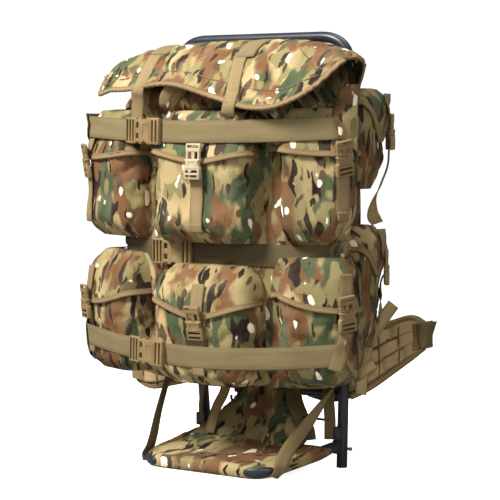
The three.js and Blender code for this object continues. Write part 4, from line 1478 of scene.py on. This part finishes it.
def tight_loop(plan):
    """Corners of the tightest loop round plan points, anticlockwise."""
    ordered = sorted(map(tuple, plan))

    def half(points):
        kept = []
        for p in points:
            while len(kept) > 1:
                a, b = kept[-2], kept[-1]
                if (b[0] - a[0]) * (p[1] - a[1]) - (b[1] - a[1]) * (p[0] - a[0]) > 0:
                    break
                kept.pop()
            kept.append(p)
        return kept[:-1]

    return np.array(half(ordered) + half(ordered[::-1]))


def front_run(loop):
    """The part of a loop in front of the side anchors, from left to right."""
    front = loop[loop[:, 1] < SIDE_ANCHOR]
    return front[np.argsort(np.arctan2(front[:, 1] - SIDE_ANCHOR - 1, front[:, 0]))]


def strap_round(pieces, z, sag, lift):
    """The middle line of a strap round some pieces, with its sag at the sides."""
    points = np.concatenate([points_of(piece) for piece in pieces])
    level = z + sag * np.minimum(1, np.abs(points[:, 0]) / 270) ** 2
    plan = points[np.abs(points[:, 2] - level) < WIDE / 2 + 2][:, :2]
    half = bag_half(z) + 1.5
    anchors = np.array([(HANG - half, SIDE_ANCHOR), (HANG + half, SIDE_ANCHOR)])
    run = front_run(tight_loop(plan))
    line = np.vstack([anchors[:1], run, anchors[1:]])
    line = respaced(line, 260)
    ahead = np.gradient(line, axis=0)
    line = line + unit(np.column_stack([ahead[:, 1], -ahead[:, 0]])) * lift
    line = evened(line, 4)
    ahead = np.gradient(line, axis=0)
    line = line + unit(np.column_stack([ahead[:, 1], -ahead[:, 0]])) * 0.8
    heights = z + sag * np.minimum(1, np.abs(line[:, 0]) / 270) ** 2
    return np.column_stack([line, heights])


def wide_strap(row, line, lean, buckle_x, webbing):
    """A strap and its buckle. lean turns its face a little downwards."""
    k = int(np.argmin(np.abs(line[:, 0] - buckle_x)))
    ahead = unit(line[k + 2] - line[k - 2])
    out = unit(np.cross(ahead, (0, 0, 1.0)))
    if out[1] > 0:
        out = -out
    near = np.abs(along(line) - along(line)[k])
    left = line[(near > 32) & (np.arange(len(line)) < k)]
    right = line[(near > 32) & (np.arange(len(line)) > k)]
    upright = np.array((0, -lean, 1.0))
    parts = [
        ribbon("left_run", left, upright, WIDE, WEB, webbing),
        ribbon("right_run", right, upright, WIDE, WEB, webbing, 0.4),
    ]
    ride(joined(f"{row}_webbing", parts), "webbing", f"{row}_strap")
    clip = clipped(f"{row}_webbing_clip", WIDE_MODEL, line[k] + out * 0.2, out, -ahead)
    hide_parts(f"{row}_buckle")


# Columns: row, height, extra height at the sides, lean, lift, where the buckle is, webbing
COMPRESSION = [
    ("upper", 586.0, 8.0, 0.0, WEB / 2 + 0.4, -116.0, WIDE_WEBBING),
    ("lower", 206.0, 16.0, 0.14, WEB / 2 + 0.4, -106.0, WIDE_WEBBING),
    # The middle strap takes the darker copy of the wide webbing, as painted shade under the upper pockets.
    ("middle", 378.0, 0.0, 0.0, WEB / 2 + 0.3, -92.0, SHADED_WEBBING),
]
strap_lines = {}
for row, z, sag, lean, lift, buckle_x, webbing in COMPRESSION:
    under = [bag] if row == "middle" else []
    for pocket in POCKETS:
        if pocket.name.startswith(row) and "side" not in pocket.name:
            under += [pouches[pocket.name], flaps[pocket.name]]
            under += [bpy.data.objects[f"{pocket.name}_webbing"]]
    strap_lines[row] = strap_round(under, z, sag, lift)
    wide_strap(row, strap_lines[row], lean, buckle_x, webbing)

# %% A strap end over the lower strap
# Columns: x and height in the pocket's frame
SLANTED = np.array([(48, 258), (46, 242), (40, 220), (34, 203), (31, 194)], float)
pocket = places["lower_right"]
tree = tree_of(pouches[pocket.name], bpy.data.objects["lower_webbing"])
run = flowing(np.column_stack([SLANTED[:, 0], np.zeros(len(SLANTED)), SLANTED[:, 1]]), 3.0)
ends = [[hit(pocket, tree, x + dx, z) for dx in (-11, 0, 11)] for x, _, z in run]
ends = np.array([[-40.0 if y is None else y for y in row] for row in ends])
run[:, 1] = steady(np.minimum(ends[:, 1], ends[:, ::2].mean(1)), 3) - WEB
slope = smoothed((ends[:, 2] - ends[:, 0]) / 22, 4)
across = np.column_stack([np.full(len(run), 0.95), slope, np.full(len(run), -0.3)])
line, across = placed(pocket, run), turned(pocket, across)
ride(ribbon("lower_right_tail", line, across, NARROW - 2, WEB, NARROW_WEBBING), "webbing")
print("compression straps", len(strap_lines))
for model in (NARROW_MODEL, WIDE_MODEL):
    bpy.data.objects.remove(model)

# %% [markdown]
# ## The lid
# The lid is one arched cloth with a lobe at each end, bound with tape all round. A table gives its
# outline in slices from left to right: the front edge, the crown, the back and the hem. The cloth is
# let settle a little on its own, so that it buckles between the straps.

# %% Sheets that settle


def settled_grid(grid, pinned, spare, cap, seed):
    """A grid of points let settle as one layer of cloth."""
    grid = np.asarray(grid, float)
    rows, columns = grid.shape[:2]
    number = np.arange(rows * columns).reshape(rows, columns)
    faces = np.stack([number[:-1, :-1], number[:-1, 1:], number[1:, 1:], number[1:, :-1]], -1)
    flat = np.zeros((rows * columns, 2))
    layer = mesh_piece("layer", grid.reshape(-1, 3), faces.reshape(-1, 4).tolist(), flat, CAMOUFLAGE)
    settle(layer, pinned.ravel(), spare, 0.0, cap, seed)
    found = points_of(layer).reshape(grid.shape)
    bpy.data.objects.remove(layer)
    return found


# %% Lid
# Columns: x, then y and z of the front edge, the crown, the back and the hem
LID_ROWS = np.array([
    (-268, -160, 660, -130, 684, -100, 676, -95, 670),
    (-246, -186, 650, -131, 704, -76, 697, -68, 684),
    (-205, -204, 655, -131, 717, -60, 710, -52, 692),
    (-160, -216, 656, -131, 725, -52, 718, -41, 668.4),
    (-60, -226, 664, -128, 732, -50, 726, -41, 668.4),
    (40, -230, 641, -130, 733, -50, 727, -41, 668.4),
    (115, -231, 623, -133, 731, -50, 725, -41, 668.4),
    (160, -228, 625, -136, 726, -51, 720, -43, 656),
    (182, -223, 632, -139, 723, -54, 716, -50, 642),
    (204, -217, 642, -143, 719, -58, 711, -58, 644),
    (236, -206, 662, -148, 714, -76, 700, -88, 660),
    (254, -188, 678, -150, 704, -100, 694, -102, 680),
], float)
LID_SLICES = 46
LOBE = 30.0  # how far from an end its rounding starts
lid_columns = [smooth_curve(LID_ROWS[:, 0], LID_ROWS[:, k]) for k in range(1, 9)]


def lid_slice(x, count=LID_SLICES):
    """Points over the lid from its front edge to its hem, at one place from left to right."""
    stops = np.array([column(x) for column in lid_columns]).reshape(4, 2)
    line = respaced(flowing(np.column_stack([np.full(4, x), stops]), 2.0), 400)
    inside = np.clip(min(x - LID_ROWS[0, 0], LID_ROWS[-1, 0] - x) / LOBE, 0, 1)
    kept = max(0.1, math.sqrt(1 - (1 - inside) ** 2))
    shares = 0.5 + (np.linspace(0, 1, count) - 0.5) * kept
    return read_off(shares, np.linspace(0, 1, 400), line)


def upward(grid):
    """Directions out of the lid's upper face."""
    out = grid_normals(grid)
    return out * np.sign(out[LID_SLICES // 2, LID_COLUMNS // 2, 2])


def lid_rim(depth):
    """Points along the lid's edge, or some rows inside it, from the hem round the front."""
    grid, far = lid_grid, -1 - depth
    runs = [grid[far, 14:0:-1], grid[::-1, depth], grid[depth, 1:], grid[1:, far], grid[far, -2:-15:-1]]
    return np.concatenate(runs)


round_off = LOBE * (1 - np.cos(np.linspace(0, math.pi / 2, 12)))
lid_xs = np.concatenate([-268 + round_off, np.linspace(-234, 220, 92), (254 - round_off)[::-1]])
LID_COLUMNS = len(lid_xs)
lid_grid = np.stack([lid_slice(x) for x in lid_xs], 1)
lid_grid = lid_grid + upward(lid_grid) * CLOTH / 2
# Columns: name, then x of the strap at the lid's edge, higher up, in its sleeve and at its foot
LID_STRAPS = [("left", -127.0, -141.0, -132.0, -139.0), ("right", 74.0, 50.0, 62.0, 62.0)]
held = np.zeros(lid_grid.shape[:2])
held[-8:] = 1.0
held[:3] = 0.8
held[:, :18] = held[:, -18:] = 0.95
for _, _, upper_x, _, _ in LID_STRAPS:
    held[:, np.abs(lid_xs - upper_x) < 16] = 0.9
lid_grid = settled_grid(lid_grid, held, 0.03, 5.0, 21)
lid = shell("lid_cloth", lid_grid, CLOTH, CAMOUFLAGE, (0.83, 0.27))
ride(lid, "camouflage", "lid")
rim = lid_rim(0)
spaced = np.linspace(0, along(rim)[-1], 300)
inward = evened(read_off(spaced, along(rim), lid_rim(4) - rim), 4)
ride(bound_edge("lid_tape", respaced(rim, 300), inward, 4.0), "webbing")

# %% Lid straps
LID_STRAP_END = 572.0
lid_out = upward(lid_grid)


def on_lid(start, end, first, last, lift):
    """A line over the lid from one place and share of its slices to another."""
    rows = np.arange(round(first * (LID_SLICES - 1)), round(last * (LID_SLICES - 1)) + 1)
    lifted = lid_grid + lid_out * lift
    line = []
    for row, x in zip(rows, np.linspace(start, end, len(rows))):
        line.append(read_off(x, lid_xs, lifted[row]))
    return np.array(line)


for name, edge_x, upper_x, sleeve_x, foot_x in LID_STRAPS:
    lying = on_lid(edge_x, upper_x, 0.0, 3 / 8, CLOTH / 2 + WEB / 2 + 0.5)[::-1]
    upper = strap_lines["upper"]
    behind = upper[int(np.argmin(np.abs(upper[:, 0] - foot_x)))][1] + WEB + 0.8
    edge = lying[-1]
    hanging = [
        (edge_x, edge[1] - 1.6, edge[2] - 7),
        (edge_x * 0.7 + foot_x * 0.3, edge[1] * 0.7 + behind * 0.3, edge[2] - 18),
        (foot_x, behind - 1.0, 612),
        (foot_x, behind, 596),
        (foot_x, behind, LID_STRAP_END),
    ]
    line = flowing(np.vstack([lying, hanging]), 4.0)
    strap = ribbon(f"lid_webbing_{name}", line, (1.0, 0, 0), NARROW, WEB, NARROW_WEBBING)
    ride(strap, "webbing", f"lid_strap_{name}")
    run = on_lid(sleeve_x, sleeve_x, 0.33, 0.88, CLOTH / 2 + 2.2)
    sleeve = ribbon(f"lid_sleeve_{name}", run, (1.0, 0, 0), WIDE, 3.6, WIDE_WEBBING)
    ride(sleeve, "webbing")
print("lid", len(lid.data.polygons), "faces")

# %% [markdown]
# ## Shelf straps and apron
# Two straps hold the shelf's front corners up to the pack, and a cloth apron closes the space between
# the shelf and the lower cross tube.

# %% Shelf straps
# A darker webbing; on the left shelf strap below, its darkness is painted shade.
DARK_WEBBING = woven_tan("dark_webbing", NARROW * MM, paint(92, 77, 50), paint(112, 95, 64), False)
# Columns: name, webbing, then each point from the shelf up and the direction across the strap there
SHELF_STRAPS = [
    # The left strap's darker webbing is painted shade, for the shade it lies in under the pack.
    ("left", DARK_WEBBING, [
        ((-152, -168, 5), (0.1, 1, 0)),
        ((-157, -165, 16), (0.1, 1, 0)),
        ((-153, -161, 30), (0, 1, 0)),
        ((-147, -144, 92), (-0.2, 0.95, 0)),
        ((-143, -122, 151), (-0.3, 0.95, 0)),
    ]),
    ("right", NARROW_WEBBING, [
        ((122, -170, 4), (0.1, 1, 0)),
        ((128.5, -166, 14), (0.15, 1, 0)),
        ((129, -157, 29), (0.5, 0.7, -0.4)),
        ((138, -91, 88), (0.1, 0.9, -0.4)),
        ((150, -18.6, 150), (-0.45, 0.85, 0.1)),
    ]),
]
for name, webbing, stops in SHELF_STRAPS:
    points = np.array([point for point, _ in stops], float)
    turns = np.array([turn for _, turn in stops], float)
    line = flowing(points, 4.0)
    far = along(line) * (along(points)[-1] / along(line)[-1])
    across = read_off(far, along(points), turns)
    strap = ribbon(f"shelf_webbing_{name}", line, across, NARROW, WEB, webbing)
    ride(strap, "webbing", f"shelf_strap_{name}")

# %% Apron
# Columns: height, y, half width
APRON_ROWS = np.array([
    (25, -112, 108),
    (36, -84, 117),
    (44, -62, 119),
    (56, -42, 112),
    (84, -26, 84),
    (110, -18, 60),
    (133, on_frame(1, LOWER_CROSS)[1] - 6.6, 50),
], float)
reach = along(APRON_ROWS[:, :2])
stops = np.linspace(0, reach[-1], 48)
apron_z, apron_y, apron_half = (smooth_curve(reach, APRON_ROWS[:, k])(stops) for k in range(3))
across = np.linspace(-1, 1, 72)
apron_grid = np.array([
    [(HANG - 4 + a * half, y + 5 * a * a, z + 6 * a * a * (1 - s / reach[-1])) for a in across]
    for s, z, y, half in zip(stops, apron_z, apron_y, apron_half)
])
held = np.zeros(apron_grid.shape[:2])
held[:2] = held[-2:] = 1.0
held[:, :1] = held[:, -1:] = 0.6
apron_grid = settled_grid(apron_grid, held, 0.05, 6.0, 31)
apron = shell("apron_cloth", apron_grid, CLOTH, CAMOUFLAGE, (1.43, 0.77))
ride(apron, "camouflage", "shelf_apron")
print("shelf straps and apron ready")

# %% [markdown]
# ## Hip belt and shoulder straps
# Both are foam pads in cloth: closed forms with a rounded section, which swell between their seams.

# %% Hip belt
PAD = 13.0
# Columns: x, y of the front, lower edge, upper edge
BELT_ROWS = np.array([
    (-344, 32, 112, 170),
    (-318, 31, 102, 188),
    (-250, 22, 112, 208),
    (-186, 9, 128, 228),
    (-150, 4.2, 138, 238),
    (0, 4.2, 132, 240),
    (150, 4.2, 118, 236),
    (190, 12, 138, 240),
    (236, 22, 172, 260),
    (276, 26, 202, 268),
    (296, 27, 218, 258),
], float)
belt_columns = [smooth_curve(BELT_ROWS[:, 0], BELT_ROWS[:, k]) for k in (1, 2, 3)]


def belt_ring(x):
    front, low, high = (float(column(x)) for column in belt_columns)
    section = oval((high - low) / 2, 0.0, PAD, 5, 5, 64)
    return np.column_stack([np.full(64, x), front + section[:, 1], (low + high) / 2 + section[:, 0]])


belt_rings = [belt_ring(x) for x in np.linspace(-344, 296, 120)]
belt = closed_loft("belt_pad", belt_rings, CAMOUFLAGE, (0.61, 1.37))
ridge = points_of(belt)
front_rows = np.array([column(ridge[:, 0]) for column in belt_columns])
inside = np.minimum(ridge[:, 2] - front_rows[1], front_rows[2] - ridge[:, 2])
pinned = np.clip(1 - inside / 5, 0, 1)
pinned = np.maximum(pinned, (np.abs(np.abs(ridge[:, 0]) - 150) < 6) * 1.0)
settle(belt, pinned, 0.03, 3.0, 3.0, 41)
ride(belt, "camouflage", "hip_belt")

# %% Belt ends
BELT_FOLD = [(-34, -3), (6, -2), (12, PAD / 2), (6, PAD + 2), (-30, PAD + 3)]
BELT_ENDS = [("left", -1, -344, 32, 116, 166, 6), ("right", 1, 296, 27, 216, 262, 8)]
for name, side, x, y, low, high, rise in BELT_ENDS:
    stops = [(x + side * out, y + back, (low + high) / 2 + rise * out / 34) for out, back in BELT_FOLD]
    line = flowing(stops, 3.0)
    strap = ribbon(f"belt_webbing_{name}", line, (0, 0, 1.0), high - low, WEB, NARROW_WEBBING)
    ride(strap, "webbing", f"belt_strap_{name}")

# %% Shoulder straps
# Columns: x, y, z, half width, thickness
SHOULDER_ROWS = np.array([
    (60, -15, 580, 24, 4),
    (62, -8, 606, 28, 9),
    (64, 16, 622, 31, 13),
    (68, 50, 606, 32, 13),
    (74, 70, 540, 32, 13),
    (82, 72, 440, 31, 13),
    (94, 56, 358, 26, 10),
    (118, 28, 304, 14, 4),
    (154, -1.6, 262, 13, 3),
], float)
far = along(SHOULDER_ROWS[:, :3])
shoulder = [smooth_curve(far, SHOULDER_ROWS[:, k]) for k in range(5)]
stops = np.linspace(0, far[-1], 90)
path = np.stack([column(stops) for column in shoulder], 1)
for side, name in SIDES:
    centre_line = path[:, :3] * np.array((side, 1, 1))
    ahead = unit(np.gradient(centre_line, axis=0))
    out = unit(np.cross(ahead, (1.0, 0, 0)))
    out *= np.sign(out[45, 1])
    rings = []
    for at, away, half, thick in zip(centre_line, out, path[:, 3], path[:, 4]):
        section = oval(half, 0.0, thick, 4, 4, 48)
        rings.append(at + section[:, :1] * np.array((1.0, 0, 0)) + section[:, 1:] * away)
    pad = closed_loft(f"shoulder_pad_{name}", rings, CAMOUFLAGE, (0.2 + side, 1.9))
    edge = np.tile(np.abs(oval(1, -1, 1, 4, 4, 48)[:, 0]), len(rings))
    held = np.append(np.clip((edge - 0.8) / 0.15, 0, 1), (1, 1))
    settle(pad, held, 0.02, 3.0, 3.0, 50 + side)
    ride(pad, "camouflage", f"shoulder_strap_{name}")
print("belt and shoulder straps ready")

# %% [markdown]
# ## Tabs over the strap ends
# Each compression strap runs into the side of the bag under a pointed cloth tab. A tab is sewn along
# its straight edge, and its point lies over the strap and the pocket, so rays find what is under it.

# %% Strap tabs
TAB_COLUMNS = 9
TAB_ROWS = 30
# How far the sewn edge goes back from the front of a tab: inwards, then backwards
TAB_BACK = [(-1.5, 9.0), (-1.0, 20.0), (1.5, 32.0), (6.0, 42.0)]
# Columns: name, pocket whose frame is used, straight edge, then heights and widths of the rows
TABS = [
    ("upper", "upper", 63, (664, 656, 640, 622, 600, 575, 555, 540), (14, 24, 32, 35, 31, 22, 12, 3)),
    ("middle", "upper", 52, (404, 396, 380, 366, 352, 340), (27, 33, 33, 27, 15, 3)),
    ("lower", "lower", 64, (264, 250, 230, 210, 190, 172), (17, 18, 17, 14, 9, 3)),
]


def tab_grid(pocket, tree, edge, heights, widths, deepest):
    """Rows of points over a tab. What lies deeper than that in the pocket's frame isn't under it."""
    side = np.sign(edge)
    levels = np.linspace(heights[0], heights[-1], TAB_ROWS)
    spread = smooth_curve(heights[::-1], widths[::-1])(levels)
    ys = np.full((TAB_ROWS, TAB_COLUMNS), np.nan)
    xs = edge - side * spread[:, None] * np.linspace(1, 0, TAB_COLUMNS)
    for i, z in enumerate(levels):
        for j, x in enumerate(xs[i]):
            found = hit(pocket, tree, x, z)
            if found is not None and found < deepest:
                ys[i, j] = found
    rough = np.nanmin(ys, axis=1)
    known = np.flatnonzero(~np.isnan(rough))
    rough = np.interp(np.arange(TAB_ROWS), known, rough[known])
    ys = np.where(np.isnan(ys), rough[:, None], ys)
    ys = np.stack([steady(column, 2) for column in ys.T], 1)
    ys = np.stack([smoothed(row, 1) for row in ys]) - 2.4
    front = np.stack([xs, ys, np.broadcast_to(levels[:, None], xs.shape)], 2)
    rows = [front]
    for inward, back in TAB_BACK:
        seam = front[:, -1] + np.array((-side * inward, back, 0))
        rows.append(seam[:, None])
    return placed(pocket, np.concatenate(rows, 1))


tab_number = 0
for row, frame_row, edge, heights, widths in TABS:
    for side, name in SIDES:
        pocket = places[f"{frame_row}_{name}"]
        under = [bpy.data.objects[f"{row}_webbing"], bag]
        if row != "middle":
            under += [pouches[pocket.name], flaps[pocket.name]]
        tab_number += 1
        reach = edge if side > 0 else -edge - 8
        levels = heights
        if side < 0 and row == "upper":
            levels = (618, 610, 604, 598, 592, 575, 555, 540)
        deepest = 60 if row == "middle" else -20
        grid = tab_grid(pocket, tree_of(*under), reach, levels, widths, deepest)
        tab = shell(f"{row}_tab_{name}", grid, 1.8, CAMOUFLAGE, (0.23 * tab_number, 0.7 + 0.19 * tab_number))
        ride(tab, "camouflage")
print("strap tabs", tab_number)

# %% [markdown]
# ## Belt webbing
# The belt's wings carry rows of webbing, sewn down at intervals so that pouches can be hung from the
# loops, and a thick binding runs round their edges. The belt's own webbing is rolled up at its end.

# %% Rows of webbing on the belt
belt_tree = tree_of(belt)
LOOP_ROWS = (0.22, 0.5, 0.78)  # shares of the belt's height
LOOP_WIDE = 20.0
# The belt's webbing is brighter than the other webbing: partly its own lighter tan, and partly painted
# light, for the light that the pack keeps off the belt.
LOOP_WEBBING = woven_tan("loop_webbing", LOOP_WIDE * MM, paint(172, 146, 102), paint(198, 170, 124), False)
# Columns: name, side, inner end, outer end, places of the sewn bars
WINGS = [
    ("right", 1, 164.0, 286.0, (178.0, 214.0, 250.0, 284.0)),
    ("left", -1, 164.0, 326.0, (178.0, 214.0, 250.0, 286.0, 322.0)),
]


def on_belt(x, share, lift):
    """A point on the front of the belt, at a share of its height."""
    front, low, high = (float(column(x)) for column in belt_columns)
    z = low + (high - low) * share
    found = belt_tree.ray_cast(Vector(to_part((x, -150.0, z))), Vector((0, 1.0, 0)))[0]
    y = found[1] / MM - SHIFT[1] if found is not None else front
    return np.array((x, y - lift, z))


for name, side, inner, outer, bars in WINGS:
    parts = []
    for share in LOOP_ROWS:
        line = [on_belt(side * x, share, WEB / 2 + 0.4) for x in np.linspace(inner, outer, 34)]
        parts.append(ribbon("row", line, (0, 0, 1.0), LOOP_WIDE, WEB, LOOP_WEBBING, share))
    for x in bars:
        line = [on_belt(side * x, share, WEB + 0.7) for share in np.linspace(0.06, 0.94, 24)]
        parts.append(ribbon("bar", line, (1.0, 0, 0), 3.2, 1.2, DARK_WEBBING))
    ride(joined(f"belt_loops_{name}", parts), "webbing")

# %% Binding round the belt
BEAD = 6.0  # half the height of the binding's bead


def belt_outline(side, inner, end):
    """The edge of one wing: out along the foot, round the end and back along the top."""
    xs = np.linspace(inner, end - 3, 30)
    foot = [(side * x, float(belt_columns[1](side * x))) for x in xs]
    top = [(side * x, float(belt_columns[2](side * x))) for x in xs[::-1]]
    tip = (side * (end + 0.5), (foot[-1][1] + top[0][1]) / 2)
    return respaced(np.array([*foot, tip, *top]), 90)


for name, side, end in (("right", 1, 296.0), ("left", -1, 344.0)):
    outline = belt_outline(side, 160.0, end)
    ahead = np.gradient(outline, axis=0)
    outward = unit(np.column_stack([ahead[:, 1], -ahead[:, 0]])) * side
    section = oval(BEAD, -PAD / 2 - 1.6, PAD / 2 + 1.6, 3, 3, 20)
    rings = []
    for (x, z), (ox, oz) in zip(outline, outward):
        y = float(belt_columns[0](x)) + PAD / 2
        rings.append([(x + ox * (a - 3), y + b, z + oz * (a - 3)) for a, b in section])
    ride(closed_loft(f"belt_binding_{name}", rings, BINDING), "webbing")

# %% Rolled and loose webbing at the belt


def lay_straps(rows):
    """Loose straps, each with its name, points, direction across, width and webbing."""
    for name, stops, across, width, webbing in rows:
        ride(ribbon(name, flowing(stops, 3.0), across, width, WEB, webbing), "webbing")


ROLL = [(292, 14), (303, 12), (312, 19), (312, 30), (303, 36), (295, 31), (297, 23), (304, 22), (306, 28)]
BELT_TAILS = [
    ("belt_roll", [(x, y, 240 + (x - 300) * 0.3) for x, y in ROLL], (0.3, 0, 0.95), 42, DARK_WEBBING),
    ("belt_tail", [(196, 7, 220), (208, 9, 242), (222, 14, 264), (240, 19, 290)],
     (0.85, 0.2, -0.5), 22, LOOP_WEBBING),
    ("belt_hanger", [(196, 6, 214), (194, 1, 196), (190, -1, 172), (186, 2, 148), (180, 9, 130)],
     (0.95, 0.3, 0.2), 20, LOOP_WEBBING),
    ("belt_keeper", [(178, 2, 160), (188, -5, 166), (200, -5, 176), (212, 3, 186)],
     (-0.4, 0, 0.9), 16, LOOP_WEBBING),
]
lay_straps(BELT_TAILS)
print("belt webbing ready")

# %% [markdown]
# ## Straps under the bag and the pull tab
# Short straps and a hook hang from the bag's floor to the lower cross tube and the shelf's hinges. A
# folded pull tab shows between the collar and the lid.

# %% Straps under the bag
BLACK_WEBBING = woven_tan("black_webbing", NARROW * MM, paint(30, 30, 30), paint(46, 46, 46), False)
HANGERS = [
    ("hanger_right", [(56, -19, 134), (66, -27, 112), (82, -33, 88), (95, -33, 64), (99, -34, 47)],
     (0.8, 0.55, 0), 28, DARK_WEBBING),
    ("hinge_webbing_right", [(134, -24, 153), (137, -27, 122), (141, -29, 88), (140, -27, 52)],
     (0.8, 0.5, 0), 20, DARK_WEBBING),
    ("hinge_webbing_left", [(-134, -24, 153), (-137, -27, 122), (-141, -29, 88), (-140, -27, 52)],
     (0.8, -0.5, 0), 20, DARK_WEBBING),
    ("hanger_left", [(-66, -44, 153), (-72, -52, 118), (-84, -56, 94), (-92, -60, 66), (-94, -66, 47)],
     (0.9, 0.3, 0), 18, NARROW_WEBBING),
    ("hook_webbing", [(-44, -44, 153), (-45, -46, 138), (-45, -45, 122)], (0.9, 0.4, 0), 14, BLACK_WEBBING),
    ("pull_tab", [(-58, -196, 672), (-64, -207, 666), (-71, -212, 654), (-77, -213, 640), (-78, -210, 631),
                  (-72, -204, 636), (-62, -200, 650), (-54, -194, 664)], (0.8, 0.6, 0), 19, NARROW_WEBBING),
]
lay_straps(HANGERS)

# %% Hook, rod and hinge plates
HOOK = [(-45, -45, 124), (-45, -46, 112), (-50, -47, 104), (-57, -48, 108), (-58, -48, 116)]
ride(tube("hook", flowing(HOOK, 1.5), 2.4, BLACK_PLASTIC), "plastic")
ride(rod("hanger_rod", (70, -31, 86), (140, -30, 86), 2.2, BLACK_PAINT), "tube")
for side, name in SIDES:
    middle = on_frame(side, 58)
    low = (middle[0] - 5.5, middle[1] - TUBE - 14, 50.5)
    high = (middle[0] + 5.5, middle[1] - TUBE + 2, 74)
    ride(block(f"hinge_plate_{name}", low, high, 2.2, BLACK_PAINT), "tube")
print("straps under the bag", len(HANGERS))

# %% [markdown]
# ## Seams of the lid, and the sheets
# A row of stitches follows the lid's front edge, and a dart shapes its right lobe. The lid, the apron
# and the flaps are cut from flat cloth.

# %% Lid seams
THREADS = woven_tan("seam_thread", 0.0022, paint(104, 88, 58), paint(124, 104, 70), False)
seam_rows = [("lid_seam", [(k, 6) for k in range(10, LID_COLUMNS - 10)])]
first = int(np.argmin(np.abs(lid_xs - 128)))
last = int(np.argmin(np.abs(lid_xs - 222)))
steps = np.unique(np.round(np.linspace(first, last, 40)).astype(int))
seam_rows.append(("lid_dart", [(k, 24 - int(16 * (k - first) / (last - first))) for k in steps]))
for name, cells in seam_rows:
    line = np.array([lid_grid[row, k] + lid_out[row, k] * (CLOTH / 2 + 0.2) for k, row in cells])
    line = evened(line, 2)
    inward = np.array([lid_grid[row + 2, k] - lid_grid[row, k] for k, row in cells])
    ride(ribbon(name, line, inward, 2.2, 1.1, THREADS), "webbing")

# %% [markdown]
# ## The end

# %% Finish
bpy.ops.object.select_all(action="DESELECT")
